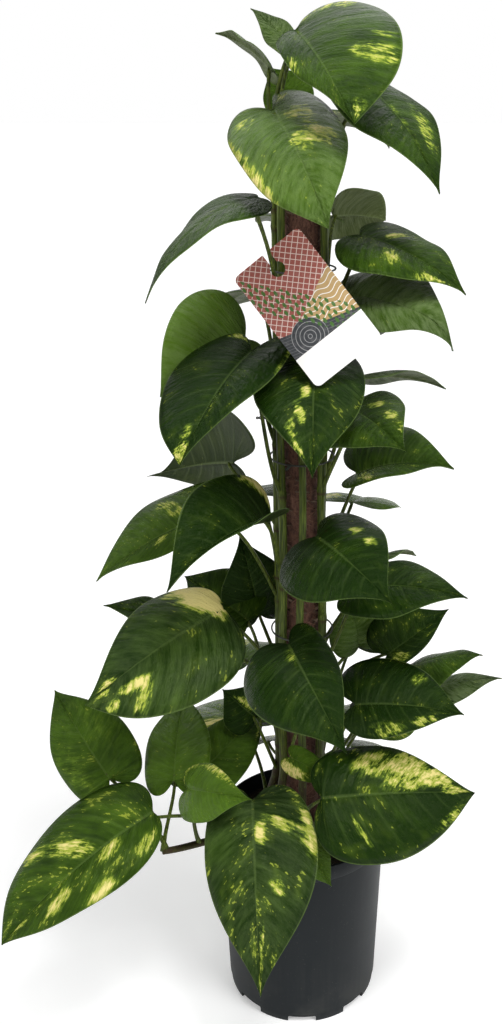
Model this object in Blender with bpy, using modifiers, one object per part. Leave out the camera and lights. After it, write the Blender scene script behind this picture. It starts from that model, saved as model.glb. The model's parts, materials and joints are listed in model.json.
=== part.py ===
"""A potted golden pothos trained up a coir pole, built in metres with +Z up.

The origin is the middle of the pot's underside. The pot is a thin moulded nursery pot with drain
recesses round its foot, filled with lumpy soil. A wooden stake with a coir sleeve stands in the soil,
and the stems climb it: each stem is one solid with its petioles and blades. Wire ties hold the stems to
the pole, and a plant label hangs by its keyhole on one petiole. Layout numbers are in millimetres, with
the viewer of the front at -Y.
"""

import math
from dataclasses import dataclass

import bmesh
import bpy
from mathutils import Matrix, Vector

MM = 0.001

POT_HEIGHT = 204.0
RIM_RADIUS = 85.0
RIM_BAND_HEIGHT = 16.0
RIM_BAND_DEPTH = 1.2
BASE_RADIUS = 78.5
FOOT_HEIGHT = 10.0
FOOT_INSET = 1.0
WALL = 1.5
DRAIN_COUNT = 8
DRAIN_WIDTH = 29.0
DRAIN_HEIGHT = 7.0
DRAIN_DEPTH = 13.0
DRAIN_HOLE_RADIUS = 3.5
DRAIN_HOLE_SIDES = 8
POT_FLOOR = 2.0
POT_SIDES = 48

FIT_GAP = 0.3
SOIL_TOP = 186.0
SOIL_LUMP = 3.0
SOIL_SIDES = 30
SOIL_RINGS = 5
STEM_HOLE_SIDES = 12
POLE_HOLE_SIDES = 24

POLE_TOP = 845.0
COIR_RADIUS = 17.0
CORE_RADIUS = 8.0
CORE_BOTTOM = 12.0
COIR_BOTTOM = 160.0
COIR_ROUGHNESS = 0.9
COIR_SIDES = 18
COIR_RINGS = 12
STAKE_SIDES = 20
STAKE_PROUD = 3.0

STEM_ORBIT = 23.6
STEM_ROOT_ORBIT = 40.0
STEM_RADIUS = 4.4
STEM_TOP_RADIUS = 3.2
STEM_BOTTOM = 150.0
NODE_SWELL = 0.7
PETIOLE_RADIUS = 2.0
PETIOLE_TIP_RADIUS = 1.5
PETIOLE_STEPS = 5
BLADE_THICKNESS = 0.8
BLADE_ROWS = 6
BLADE_COLUMNS = 4
HOOK_START = 0.68

TIE_WIRE = 1.0
TIE_SIDES = 20
TIE_WIRE_SIDES = 5
TIE_HEIGHTS = (322.0, 422.0, 597.0, 633.0, 765.0)
TIE_TAIL = 12.0
TIE_TAIL_TURNS = (200.0, 140.0, 250.0, 182.0, 190.0)

LABEL_LENGTH = 110.0
LABEL_WIDTH = 66.0
LABEL_THICKNESS = 0.8
LABEL_CORNER = 5.0
LABEL_CORNER_STEPS = 4
LABEL_HOLE_STEPS = 16
LABEL_HOLE_RADIUS = 6.2
LABEL_HOLE_INSET = 16.0
LABEL_SLOT = 6.0
LABEL_LEAF = 2
LABEL_PETIOLE_STEP = 3
LABEL_HANG = -53.0
LABEL_DOWN = (66, -30, -80)
LABEL_FACE = (-11, -96, 27)


@dataclass(frozen=True)
class Leaf:
    """One leaf: where its blade starts and ends, which way its upper side looks, and its form."""

    name: str
    base: tuple
    tip: tuple
    face: tuple
    width: float
    node: float
    droop: float = 35.0
    fold: float = 14.0
    arch: float = 40.0
    wave: float = 2.5
    twist: float = 0.0
    skew: float = 0.05
    lobe: tuple = (1.0, 1.0)
    full: tuple = (0.0, 0.0)
    hook: float = 0.0
    route: tuple = ()


@dataclass(frozen=True)
class Stem:
    """One climbing or trailing stem with its leaves."""

    name: str
    angle: float
    top: float
    leaves: tuple
    path: tuple = ()


STEMS = (
    Stem("stem_front_left", -141, 872, (
        Leaf("L1", (-5, -22, 950), (37, -125, 886), (-95, 40), 90, 868, arch=30, skew=-0.48,
             lobe=(0.0, 1.4), full=(0.0, 0.7), route=((-27, 0, 895), (-15, 4, 928))),
        Leaf("L2", (-23, -45, 893), (19, -155, 818), (-85, 35), 92, 835, fold=8, skew=-0.06,
             lobe=(0.8, 2.8), full=(0.6, 0.0)),
        Leaf("L4", (-33, -84, 832), (-112, -160, 767), (90, 80), 54, 718, droop=58, fold=0, arch=20,
             twist=-40, lobe=(0.3, 0.3), route=((-22, -40, 744), (-17, -62, 774))),
        Leaf("L9", (-42, -38, 703), (-96, -129, 633), (-120, 40), 88, 565, fold=22, skew=0.12,
             lobe=(1.0, 1.7), full=(0.6, 0.0), route=((-34, -26, 600), (-33, -24, 660))),
        Leaf("L16", (-28, -48, 553), (-110, -140, 528), (-110, 62), 92, 475, droop=58, fold=46,
             arch=10, skew=0.1, lobe=(0.5, 0.0), full=(0.0, -0.6)),
        Leaf("L26", (-73, -24, 454), (-188, -123, 411), (-105, 38), 110, 370, fold=10, skew=-0.12,
             lobe=(0.3, 0.0), full=(0.0, 0.8)),
    )),
    Stem("stem_front_right", -39, 858, (
        Leaf("L3", (51, 5, 910), (104, -86, 835), (-60, 50), 80, 850, skew=0.11),
        Leaf("L6", (48, -8, 794), (131, -64, 755), (-70, 62), 82, 715, skew=0.12, lobe=(0.5, 0.5),
             route=((32, -2, 742), (44, 6, 775))),
        Leaf("L7", (38, -18, 745), (128, -86, 724), (-75, 45), 84, 680, droop=45, skew=-0.2,
             lobe=(0.2, 1.6), full=(0.0, -0.4), hook=80),
        Leaf("L11", (42, -34, 651), (83, -112, 639), (-80, 25), 76, 570, skew=0.1, lobe=(0.6, 0.6)),
        Leaf("L17", (13, -55, 541), (72, -148, 522), (-85, 35), 102, 440, fold=6, skew=0.08,
             lobe=(1.0, 1.5)),
        Leaf("L19", (50, -15, 472), (150, -50, 478), (-70, 65), 76, 385),
        Leaf("L23", (50, -48, 365), (150, -70, 368), (-80, 62), 92, 262, fold=12, skew=-0.25,
             lobe=(0.8, 1.6)),
    )),
    Stem("stem_front", -92, 612, (
        Leaf("L10", (10, -40, 700), (8, -150, 630), (-90, 35), 94, 606, fold=8, skew=0.08,
             route=((3, -42, 630), (4, -34, 672))),
        Leaf("L25", (-12, -68, 441), (37, -172, 395), (-95, 40), 90, 345, fold=6, skew=0.28,
             lobe=(1.0, 1.4)),
        Leaf("L36", (-11, -50, 308), (33, -66, 289), (-80, 40), 30, 338),
    )),
    Stem("stem_left", 165, 852, (
        Leaf("L0", (-24, 20, 921), (-72, 55, 950), (10, 40), 46, 846),
        Leaf("L1b", (-5, 2, 934), (-41, 20, 967), (-60, 30), 30, 815, droop=20,
             route=((-26, 24, 860), (-20, 26, 905))),
        Leaf("L8", (-50, 16, 701), (-120, -46, 665), (-60, 20), 100, 607, skew=0.15, full=(0.4, 0.0),
             route=((-35, 10, 628), (-37, 16, 672))),
        Leaf("L14", (-62, 0, 590), (-150, 60, 555), (35, 20), 88, 525, fold=20, skew=-0.3,
             lobe=(0.4, 3.6), full=(0.0, -0.8)),
        Leaf("L15", (-78, -25, 551), (-190, -25, 483), (-120, 60), 76, 450, skew=0.38),
        Leaf("L27", (-116, -10, 428), (-185, -24, 458), (-110, 75), 52, 350, droop=12, arch=25),
        Leaf("L28", (-52, 8, 425), (-117, 48, 454), (-100, 50), 76, 330, lobe=(0.5, 0.5)),
        Leaf("M1", (-42, 30, 420), (-60, 24, 508), (-80, 30), 72, 375),
        Leaf("M3", (-47, 4, 318), (-79, 2, 352), (-100, 35), 56, 256,
             route=((-30, -6, 275), (-36, -10, 298))),
        Leaf("K2", (-40, 60, 735), (-85, 130, 695), (120, 50), 85, 665),
        Leaf("K5", (-38, 60, 535), (-60, 150, 500), (105, 50), 85, 475),
        Leaf("K8", (-55, 62, 350), (-110, 135, 325), (125, 50), 90, 290),
        Leaf("K11", (-60, 75, 262), (-125, 160, 232), (125, 50), 95, 215),
        Leaf("K15", (-8, 46, 892), (-26, 58, 923), (-90, 20), 44, 800),
    )),
    Stem("stem_right", 35, 846, (
        Leaf("L5", (27, 55, 802), (76, 80, 795), (90, 30), 62, 725, full=(0.7, 0.7)),
        Leaf("L13", (43, 20, 662), (135, 56, 644), (60, 53), 60, 570),
        Leaf("L12", (50, 5, 578), (137, -10, 588), (-80, 74), 84, 490, droop=48, fold=28, skew=-0.25),
        Leaf("L18", (69, 24, 483), (114, 58, 472), (80, 50), 45, 395),
        Leaf("L20", (84, 14, 384), (143, 12, 436), (-60, 40), 54, 335, skew=-0.35),
        Leaf("M2", (58, 38, 380), (44, 38, 438), (-80, 35), 60, 345),
        Leaf("L21", (112, 25, 365), (178, 10, 386), (-90, 80), 55, 280, fold=-5, arch=50),
        Leaf("L22", (105, 35, 322), (203, 30, 348), (-90, 80), 56, 250, fold=-5),
        Leaf("L24", (58, -4, 328), (150, -18, 350), (-80, 70), 56, 240),
        Leaf("K3", (34, 68, 705), (58, 145, 660), (75, 50), 80, 640),
        Leaf("K6", (48, 60, 528), (75, 140, 492), (70, 50), 85, 460),
        Leaf("K9", (52, 72, 368), (105, 145, 335), (55, 50), 85, 265),
        Leaf("K12", (62, 78, 262), (125, 160, 232), (55, 50), 95, 218),
        Leaf("K16", (38, 42, 888), (80, 115, 855), (60, 50), 78, 815),
    )),
    Stem("stem_back", 97, 800, (
        Leaf("K1", (-2, 68, 800), (-6, 160, 768), (90, 50), 85, 740),
        Leaf("K4", (0, 66, 622), (-4, 160, 588), (90, 50), 82, 560),
        Leaf("K7", (2, 66, 440), (6, 165, 402), (90, 50), 90, 375),
        Leaf("K10", (0, 78, 300), (8, 185, 262), (90, 50), 95, 232),
        Leaf("K13", (-36, 92, 232), (-66, 176, 160), (100, 40), 80, 205),
        Leaf("K14", (40, 92, 230), (82, 172, 158), (70, 40), 80, 210),
    )),
    Stem("stem_trailing", 0, 1, (
        Leaf("L29", (-186, -52, 284), (-252, 29, 335), (-110, 50), 80, 0.96),
        Leaf("L30", (-123, -60, 288), (-122, 52, 315), (-100, 50), 66, 1.0),
        Leaf("L31", (-107, -45, 275), (-37, 48, 302), (-80, 50), 62, 0.5),
        Leaf("L32", (-108, -80, 293), (-45, -130, 318), (-90, 40), 56, 0.7),
        Leaf("L33", (-139, -95, 278), (-272, -166, 186), (-125, 55), 104, 0.45, skew=0.2,
             lobe=(0.4, 0.1), full=(0.5, 0.4)),
    ), ((-48, -36, 192), (-52, -40, 226), (-96, -77, 224), (-133, -90, 229))),
    Stem("stem_low", 0, 1, (
        Leaf("L34", (-46, -98, 294), (-36, -215, 174), (-90, 40), 106, 0.9, fold=6, skew=-0.12,
             lobe=(0.7, 0.7)),
        Leaf("L35", (18, -92, 292), (167, -60, 274), (-85, 48), 114, 1.0, fold=6, skew=0.12,
             lobe=(0.5, 0.5), full=(0.3, 0.0)),
        Leaf("L37", (-2, -92, 250), (28, -105, 200), (-80, 30), 35, 0.6),
    ), ((22, -52, 192), (22, -52, 225), (10, -75, 245), (0, -80, 262))),
)


def unit(azimuth, elevation):
    """The direction at this azimuth from +X and elevation from the ground, in degrees."""
    a, e = math.radians(azimuth), math.radians(elevation)
    return Vector((math.cos(a) * math.cos(e), math.sin(a) * math.cos(e), math.sin(e)))


def smoothstep(low, high, value):
    t = min(max((value - low) / (high - low), 0.0), 1.0)
    return t * t * (3.0 - 2.0 * t)


def bezier(points, t):
    """The point at t on a Bezier curve of any degree."""
    points = [Vector(p) for p in points]
    while len(points) > 1:
        points = [a.lerp(b, t) for a, b in zip(points, points[1:])]
    return points[0]


def stem_point(stem, place):
    """The middle of the stem at this height up the pole, or at this share of a trailing stem's curve."""
    if stem.path:
        return bezier(stem.path, place)
    rooted = 1.0 - smoothstep(SOIL_TOP + 6.0, SOIL_TOP + 90.0, place)
    orbit = STEM_ORBIT + (STEM_ROOT_ORBIT - STEM_ORBIT) * rooted
    sway = 4.0 * math.sin(place / 47.0 + stem.angle) * (1.0 - rooted)
    angle = math.radians(stem.angle + sway)
    return Vector((orbit * math.cos(angle), orbit * math.sin(angle), place))


def stem_radius(stem, height):
    """A climbing stem's radius between its nodes at this height."""
    share = (height - STEM_BOTTOM) / (stem.top - STEM_BOTTOM)
    return STEM_RADIUS + (STEM_TOP_RADIUS - STEM_RADIUS) * share


def stem_line(stem):
    """The stem's middle line as (point, radius) pairs, with a swelling at each node of a climbing stem."""
    if stem.path:
        root = Vector(stem.path[0])
        line = [Vector((root.x, root.y, STEM_BOTTOM))] + [bezier(stem.path, i / 10) for i in range(11)]
        return [(p, STEM_RADIUS + (STEM_TOP_RADIUS - STEM_RADIUS) * i / 11) for i, p in enumerate(line)]
    swells = {STEM_BOTTOM: 0.0, SOIL_TOP + 5.0: 0.0, SOIL_TOP + 35.0: 0.0, SOIL_TOP + 65.0: 0.0}
    swells.update({SOIL_TOP + 95.0: 0.0, stem.top: 0.0})
    for leaf in stem.leaves:
        for offset, swell in ((-8.0, 0.0), (-1.0, NODE_SWELL), (6.0, 0.0)):
            height = leaf.node + offset
            if height < stem.top - 5.0 and all(abs(height - other) > 5.0 for other in swells):
                swells[height] = swell
    line = []
    for height in sorted(swells):
        line.append((stem_point(stem, height), stem_radius(stem, height) + swells[height]))
    return line


def leaf_frame(leaf):
    """The blade's axes as a matrix: across, from base to tip, and the way its upper side looks."""
    base, tip = Vector(leaf.base), Vector(leaf.tip)
    forward = (tip - base).normalized()
    face = unit(*leaf.face)
    up = (face - forward * face.dot(forward)).normalized()
    across = forward.cross(up)
    matrix = Matrix((across, forward, up)).transposed().to_4x4()
    matrix.translation = base
    return matrix


def petiole_points(stem, leaf):
    """The petiole's middle line, from inside the stem to under the blade's base."""
    start = stem_point(stem, leaf.node)
    frame = leaf_frame(leaf)
    across, forward, up = (frame.col[i].to_3d() for i in range(3))
    end = frame @ (blade_point(leaf, 1.0, 0.0, 0.43) * 0.45 - Vector((0.0, 0.0, 0.5)))
    if leaf.route:
        controls = [start, *leaf.route, end]
    else:
        reach = (end - start).length
        out = Vector((end.x - start.x, end.y - start.y, 0.0))
        out = out.normalized() if out.length > 1.0 else Vector((start.x, start.y, 0.0)).normalized()
        rise = 1.0 if end.z > start.z else -0.3
        first = start + (out * 0.45 + Vector((0.0, 0.0, 0.9 * rise))).normalized() * reach * 0.45
        second = end - (forward * 0.55 + up * 0.8).normalized() * reach * 0.3
        controls = [start, first, second, end]
    return [bezier(controls, i / PETIOLE_STEPS) for i in range(PETIOLE_STEPS + 1)]


def half_outline(t, lobe, full):
    """The margin of half a heart-shaped blade of length 1 and half width 1, from the base round to the tip.

    The lobe scales how far the half reaches back past the base. A full half keeps its width close to
    the tip.
    """
    split = 0.4
    widest = (1.0, 0.34 - 0.1 * lobe, 0.0)
    if t < split:
        inner, outer = (0.3, -0.21 * lobe, 0.0), (1.0, -0.17 * lobe, 0.0)
        return bezier(((0.03, 0.0, 0.0), inner, outer, widest), t / split)
    shoulder = (1.0, 0.62 + 0.24 * full, 0.0)
    taper = (0.16 + 0.42 * full, 0.8 + 0.14 * full, 0.0)
    return bezier((widest, shoulder, taper, (0.0, 1.0, 0.0)), (t - split) / (1.0 - split))


def arc_point(arc, bend, lean):
    """The point of the drooping midrib where it leans this much, on a circle of radius arc."""
    along = math.sin(bend / 2.0) - math.sin(lean)
    rise = math.cos(lean) - math.cos(bend / 2.0)
    return Vector((0.0, arc * along, arc * rise))


def blade_point(leaf, side, u, v):
    """A point of the blade: u runs along a vein from the midrib to the margin, v counts the veins."""
    length = (Vector(leaf.tip) - Vector(leaf.base)).length
    bend = math.radians(leaf.droop)
    length *= (bend / 2.0) / math.sin(bend / 2.0)
    half = leaf.width / 2.0 * (1.0 + leaf.skew * side)
    root = max(0.0, (v - 0.3) / 0.7) ** 1.2
    half_index = 0 if side > 0.0 else 1
    edge = half_outline(v, leaf.lobe[half_index], leaf.full[half_index])
    pull = Vector((edge.x * 0.55, root + (edge.y - root) * 0.3, 0.0))
    flat = bezier(((0.0, root, 0.0), pull, edge), u)
    out, along = flat.x * half, flat.y * length
    slope = math.radians(leaf.fold) - math.radians(leaf.arch) * (flat.x * 0.5)
    x, z = out * math.cos(slope), out * math.sin(slope)
    z += leaf.wave * flat.x**2 * math.sin(v * 15.0 + side * 1.3 + leaf.node)
    twist = math.radians(leaf.twist) * (flat.y - 0.5) * side
    x, z = x * math.cos(twist) - z * math.sin(twist) * side, z * math.cos(twist) + x * math.sin(twist)
    lean = bend * (0.5 - flat.y)
    arc = length / bend
    middle = arc_point(arc, bend, lean)
    if leaf.hook and flat.y > HOOK_START:
        turn = math.radians(leaf.hook) * (flat.y - HOOK_START) / (1.0 - HOOK_START)
        reach = length * (flat.y - HOOK_START)
        slant = bend * (0.5 - HOOK_START)
        lean -= turn
        heading = slant - turn * 0.5
        middle = arc_point(arc, bend, slant) + Vector((0.0, math.cos(heading), math.sin(heading))) * reach
    return middle + Vector((x * side, -z * math.sin(lean), z * math.cos(lean)))


def blade_mesh(leaf):
    """The blade as a thin closed solid in its own axes, in metres."""
    bm = bmesh.new()
    bmesh.ops.create_grid(bm, x_segments=BLADE_COLUMNS, y_segments=BLADE_ROWS, size=1.0)
    for vert in bm.verts:
        side = 1.0 if vert.co.x > 0.0 else -1.0
        vert.co = blade_point(leaf, side, abs(vert.co.x), (vert.co.y + 1.0) / 2.0) * MM
    bmesh.ops.remove_doubles(bm, verts=bm.verts, dist=0.2 * MM)
    bmesh.ops.triangulate(bm, faces=bm.faces)
    mesh = bpy.data.meshes.new(leaf.name)
    bm.to_mesh(mesh)
    bm.free()
    return mesh


def material(name, colour, roughness, metallic=0.0):
    made = bpy.data.materials.new(name)
    made.use_nodes = True
    shader = made.node_tree.nodes["Principled BSDF"]
    shader.inputs["Base Color"].default_value = (*colour, 1.0)
    shader.inputs["Roughness"].default_value = roughness
    shader.inputs["Metallic"].default_value = metallic
    return made


def add_object(name, mesh, collection, finish=None):
    made = bpy.data.objects.new(name, mesh)
    collection.objects.link(made)
    if finish:
        made.data.materials.append(finish)
    return made


def evaluated_mesh(source, name):
    """The object's mesh with its modifiers applied, as a new mesh."""
    graph = bpy.context.evaluated_depsgraph_get()
    mesh = bpy.data.meshes.new_from_object(source.evaluated_get(graph))
    mesh.name = name
    return mesh


def tube(name, line, collection, resolution=0):
    """A closed tube round a line of (point, radius) pairs, made as a bevelled curve."""
    curve = bpy.data.curves.new(name, "CURVE")
    curve.dimensions = "3D"
    curve.bevel_depth = MM
    curve.bevel_resolution = resolution
    curve.use_fill_caps = True
    spline = curve.splines.new("POLY")
    spline.points.add(len(line) - 1)
    for point, (place, radius) in zip(spline.points, line):
        point.co = (*(Vector(place) * MM), 1.0)
        point.radius = radius
    guide = add_object(name + "_guide", curve, collection)
    bpy.context.view_layer.update()
    mesh = evaluated_mesh(guide, name)
    bpy.data.objects.remove(guide)
    bm = bmesh.new()
    bm.from_mesh(mesh)
    bmesh.ops.remove_doubles(bm, verts=bm.verts, dist=0.01 * MM)
    bmesh.ops.recalc_face_normals(bm, faces=bm.faces)
    bm.to_mesh(mesh)
    bm.free()
    return add_object(name, mesh, collection)


def solid_of_revolution(name, profile, collection, sides):
    """A turned solid from a profile of (radius, height) points that runs down its outer side."""
    bm = bmesh.new()
    verts = [bm.verts.new((radius * MM, 0.0, height * MM)) for radius, height in profile]
    for a, b in zip(verts, verts[1:]):
        bm.edges.new((a, b))
    if profile[0][0] > 0.0:
        bm.edges.new((verts[-1], verts[0]))
    mesh = bpy.data.meshes.new(name)
    bm.to_mesh(mesh)
    bm.free()
    turned = add_object(name, mesh, collection)
    screw = turned.modifiers.new("Turn", "SCREW")
    screw.steps = screw.render_steps = sides
    screw.use_merge_vertices = True
    screw.merge_threshold = 0.00001
    return turned


def subtract(target, cutter, solver="EXACT"):
    cutter.hide_render = True
    cutter.display_type = "WIRE"
    cut = target.modifiers.new("Cut " + cutter.name, "BOOLEAN")
    cut.operation = "DIFFERENCE"
    cut.solver = solver
    cut.object = cutter


def join_boxes(name, boxes, collection):
    """Boxes given as (centre, size, turn about Z) in one mesh."""
    bm = bmesh.new()
    for centre, size, turn in boxes:
        place = Matrix.Rotation(turn, 4, "Z") @ Matrix.Translation(Vector(centre) * MM)
        bmesh.ops.create_cube(bm, size=1.0, matrix=place @ Matrix.Diagonal((*(Vector(size) * MM), 1.0)))
    mesh = bpy.data.meshes.new(name)
    bm.to_mesh(mesh)
    bm.free()
    return add_object(name, mesh, collection)


def join_posts(name, posts, collection, sides):
    """Upright cylinders given as (x, y, radius, bottom, top) in one mesh."""
    bm = bmesh.new()
    for x, y, radius, bottom, top in posts:
        place = Matrix.Translation(Vector((x, y, (bottom + top) / 2.0)) * MM)
        bmesh.ops.create_cone(bm, cap_ends=True, segments=sides, radius1=radius * MM, radius2=radius * MM,
                              depth=(top - bottom) * MM, matrix=place)
    mesh = bpy.data.meshes.new(name)
    bm.to_mesh(mesh)
    bm.free()
    return add_object(name, mesh, collection)


def wall_radius(height):
    """The pot's outer radius: straight taper, with the lowest part drawn in a little."""
    radius = BASE_RADIUS + (RIM_RADIUS - BASE_RADIUS) * height / POT_HEIGHT
    return radius - (FOOT_INSET if height < FOOT_HEIGHT else 0.0)


def drains(grow, top):
    """Blocks for the drain recesses round the foot, larger by grow on the sides that face the soil."""
    middle = BASE_RADIUS - DRAIN_DEPTH / 2.0 + 2.0
    size = (DRAIN_DEPTH + 4.0 + 2.0 * grow, DRAIN_WIDTH + 2.0 * grow, 2.0 * top)
    return [((middle, 0.0, 0.0), size, math.tau * i / DRAIN_COUNT) for i in range(DRAIN_COUNT)]


def build_pot(parts, cutters):
    """A thin tapered pot with a rim band and drain recesses moulded into its foot."""
    band = RIM_RADIUS + RIM_BAND_DEPTH
    low = POT_HEIGHT - RIM_BAND_HEIGHT
    outer = [(0.0, POT_HEIGHT), (band, POT_HEIGHT), (band, low), (wall_radius(low), low - 1.5),
             (wall_radius(FOOT_HEIGHT), FOOT_HEIGHT + 1.0), (wall_radius(0.0), FOOT_HEIGHT),
             (wall_radius(0.0), 0.0), (0.0, 0.0)]
    pot = solid_of_revolution("pot", outer, parts, POT_SIDES)
    pot.data.materials.append(material("pot plastic", (0.035, 0.04, 0.048), 0.55))
    mouth = RIM_RADIUS - WALL
    hollow = [(0.0, POT_HEIGHT + 5.0), (mouth, POT_HEIGHT + 5.0), (mouth, POT_HEIGHT - 1.0),
              (BASE_RADIUS - WALL - FOOT_INSET, POT_FLOOR), (0.0, POT_FLOOR)]
    cavity = solid_of_revolution("pot_cavity", hollow, cutters, POT_SIDES)
    subtract(cavity, join_boxes("drain_casings", drains(WALL, DRAIN_HEIGHT + WALL), cutters))
    subtract(pot, cavity)
    subtract(pot, join_boxes("drain_recesses", drains(0.0, DRAIN_HEIGHT), cutters))
    orbit = BASE_RADIUS - DRAIN_DEPTH / 2.0 - 1.0
    posts = []
    for i in range(DRAIN_COUNT):
        turn = math.tau * i / DRAIN_COUNT
        x, y = orbit * math.cos(turn), orbit * math.sin(turn)
        posts.append((x, y, DRAIN_HOLE_RADIUS, 1.0, DRAIN_HEIGHT + 4.0))
    subtract(pot, join_posts("drain_holes", posts, cutters, DRAIN_HOLE_SIDES))


def soil_height(x, y):
    """The lumpy surface of the soil."""
    broad = math.sin(x / 9.0 + 1.0) * math.cos(y / 7.5)
    fine = math.sin((x + y) / 5.0) * math.cos((x - 2.0 * y) / 11.0)
    return SOIL_TOP + SOIL_LUMP * (0.6 * broad + 0.36 * fine)


def build_soil(parts, cutters):
    """The soil as one solid that fills the pot, with plain holes for the stems and the pole."""
    narrowing = (RIM_RADIUS - BASE_RADIUS) * (POT_HEIGHT - SOIL_TOP) / POT_HEIGHT
    inner_top = RIM_RADIUS - WALL - FIT_GAP - narrowing - 0.4
    inner_foot = BASE_RADIUS - WALL - FOOT_INSET - FIT_GAP
    step = BASE_RADIUS - DRAIN_DEPTH - 4.0 - WALL - FIT_GAP
    shelf = DRAIN_HEIGHT + WALL + FIT_GAP
    floor = POT_FLOOR + FIT_GAP
    profile = [(inner_top * i / SOIL_RINGS, SOIL_TOP) for i in range(SOIL_RINGS + 1)]
    profile += [(inner_foot, shelf), (step, shelf), (step, floor), (0.0, floor)]
    turned = solid_of_revolution("soil_turned", profile, parts, SOIL_SIDES)
    bpy.context.view_layer.update()
    mesh = evaluated_mesh(turned, "soil")
    bpy.data.objects.remove(turned)
    for vert in mesh.vertices:
        x, y, z = vert.co / MM
        if z > SOIL_TOP - 1.0:
            edge = 1.0 - smoothstep(0.8, 1.0, math.hypot(x, y) / inner_top)
            vert.co.z = (SOIL_TOP + (soil_height(x, y) - SOIL_TOP) * edge) * MM
    bm = bmesh.new()
    bm.from_mesh(mesh)
    bmesh.ops.remove_doubles(bm, verts=bm.verts, dist=0.01 * MM)
    bmesh.ops.triangulate(bm, faces=bm.faces)
    bm.to_mesh(mesh)
    bm.free()
    soil = add_object("soil", mesh, parts, material("soil", (0.03, 0.02, 0.014), 0.95))
    top = SOIL_TOP + 20.0
    posts = []
    for stem in STEMS:
        root = stem_line(stem)[0][0]
        posts.append((root.x, root.y, STEM_RADIUS + FIT_GAP + 0.1, STEM_BOTTOM - FIT_GAP, top))
    subtract(soil, join_posts("stem_holes", posts, cutters, STEM_HOLE_SIDES))
    sleeve = [(0.0, 0.0, COIR_RADIUS + COIR_ROUGHNESS + FIT_GAP, COIR_BOTTOM - FIT_GAP, top)]
    subtract(soil, join_posts("coir_hole", sleeve, cutters, POLE_HOLE_SIDES))
    core = [(0.0, 0.0, CORE_RADIUS + FIT_GAP, CORE_BOTTOM - FIT_GAP, COIR_BOTTOM + 5.0)]
    subtract(soil, join_posts("stake_hole", core, cutters, POLE_HOLE_SIDES))


def build_pole(parts):
    """A round wooden stake inside a rough sleeve of coir."""
    core = [(0.0, 0.0, CORE_RADIUS, CORE_BOTTOM, POLE_TOP + STAKE_PROUD)]
    stake = join_posts("pole_stake", core, parts, STAKE_SIDES)
    stake.data.materials.append(material("stake wood", (0.32, 0.2, 0.11), 0.7))
    bore = CORE_RADIUS + FIT_GAP + 0.2
    drop = (COIR_BOTTOM - POLE_TOP) / COIR_RINGS
    outer = [(COIR_RADIUS, POLE_TOP + drop * i) for i in range(COIR_RINGS + 1)]
    profile = [(bore, POLE_TOP)] + outer + [(bore, COIR_BOTTOM)]
    turned = solid_of_revolution("coir_turned", profile, parts, COIR_SIDES)
    bpy.context.view_layer.update()
    mesh = evaluated_mesh(turned, "pole_coir")
    bpy.data.objects.remove(turned)
    for vert in mesh.vertices:
        x, y, z = vert.co / MM
        if math.hypot(x, y) > COIR_RADIUS - 1.0:
            turn = math.atan2(y, x)
            swell = COIR_ROUGHNESS * math.sin(3.0 * turn + z / 9.0) * math.sin(2.0 * turn + z / 14.0)
            vert.co.x *= 1.0 + swell / COIR_RADIUS
            vert.co.y *= 1.0 + swell / COIR_RADIUS
    bm = bmesh.new()
    bm.from_mesh(mesh)
    bmesh.ops.remove_doubles(bm, verts=bm.verts, dist=0.01 * MM)
    bmesh.ops.triangulate(bm, faces=bm.faces)
    bm.to_mesh(mesh)
    bm.free()
    add_object("pole_coir", mesh, parts, material("coir", (0.13, 0.05, 0.03), 0.95))


def build_stem(stem, parts):
    """One stem fused with its petioles and blades."""
    trunk = tube(stem.name, stem_line(stem), parts, 1)
    trunk.data.materials.append(material("leaf green " + stem.name, (0.05, 0.13, 0.02), 0.35))
    growth = bpy.data.collections.new(stem.name + "_growth")
    bpy.context.scene.collection.children.link(growth)
    for leaf in stem.leaves:
        points = petiole_points(stem, leaf)
        last = len(points) - 1
        taper = PETIOLE_TIP_RADIUS - PETIOLE_RADIUS
        line = [(p, PETIOLE_RADIUS + taper * i / last) for i, p in enumerate(points)]
        tube(leaf.name + "_petiole", line, growth)
        blade = add_object(leaf.name + "_blade", blade_mesh(leaf), growth)
        frame = leaf_frame(leaf)
        frame.translation *= MM
        blade.matrix_world = frame
        shell = blade.modifiers.new("Thickness", "SOLIDIFY")
        shell.thickness = BLADE_THICKNESS * MM
        shell.offset = 0.0
    join = trunk.modifiers.new("Growth", "BOOLEAN")
    join.operation = "UNION"
    join.solver = "MANIFOLD"
    join.operand_type = "COLLECTION"
    join.collection = growth
    bpy.context.view_layer.update()
    mesh = evaluated_mesh(trunk, stem.name)
    trunk.modifiers.clear()
    trunk.data = mesh
    for piece in list(growth.objects):
        bpy.data.objects.remove(piece)
    bpy.data.collections.remove(growth)


def tie_radius(height):
    """The ring's radius where it lies close round the stems that climb past this height."""
    climbing = [stem for stem in STEMS if not stem.path and stem.top > height]
    reach = STEM_ORBIT + max(stem_radius(stem, height) for stem in climbing)
    return (reach + FIT_GAP + TIE_WIRE) / math.cos(math.pi / TIE_SIDES)


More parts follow.
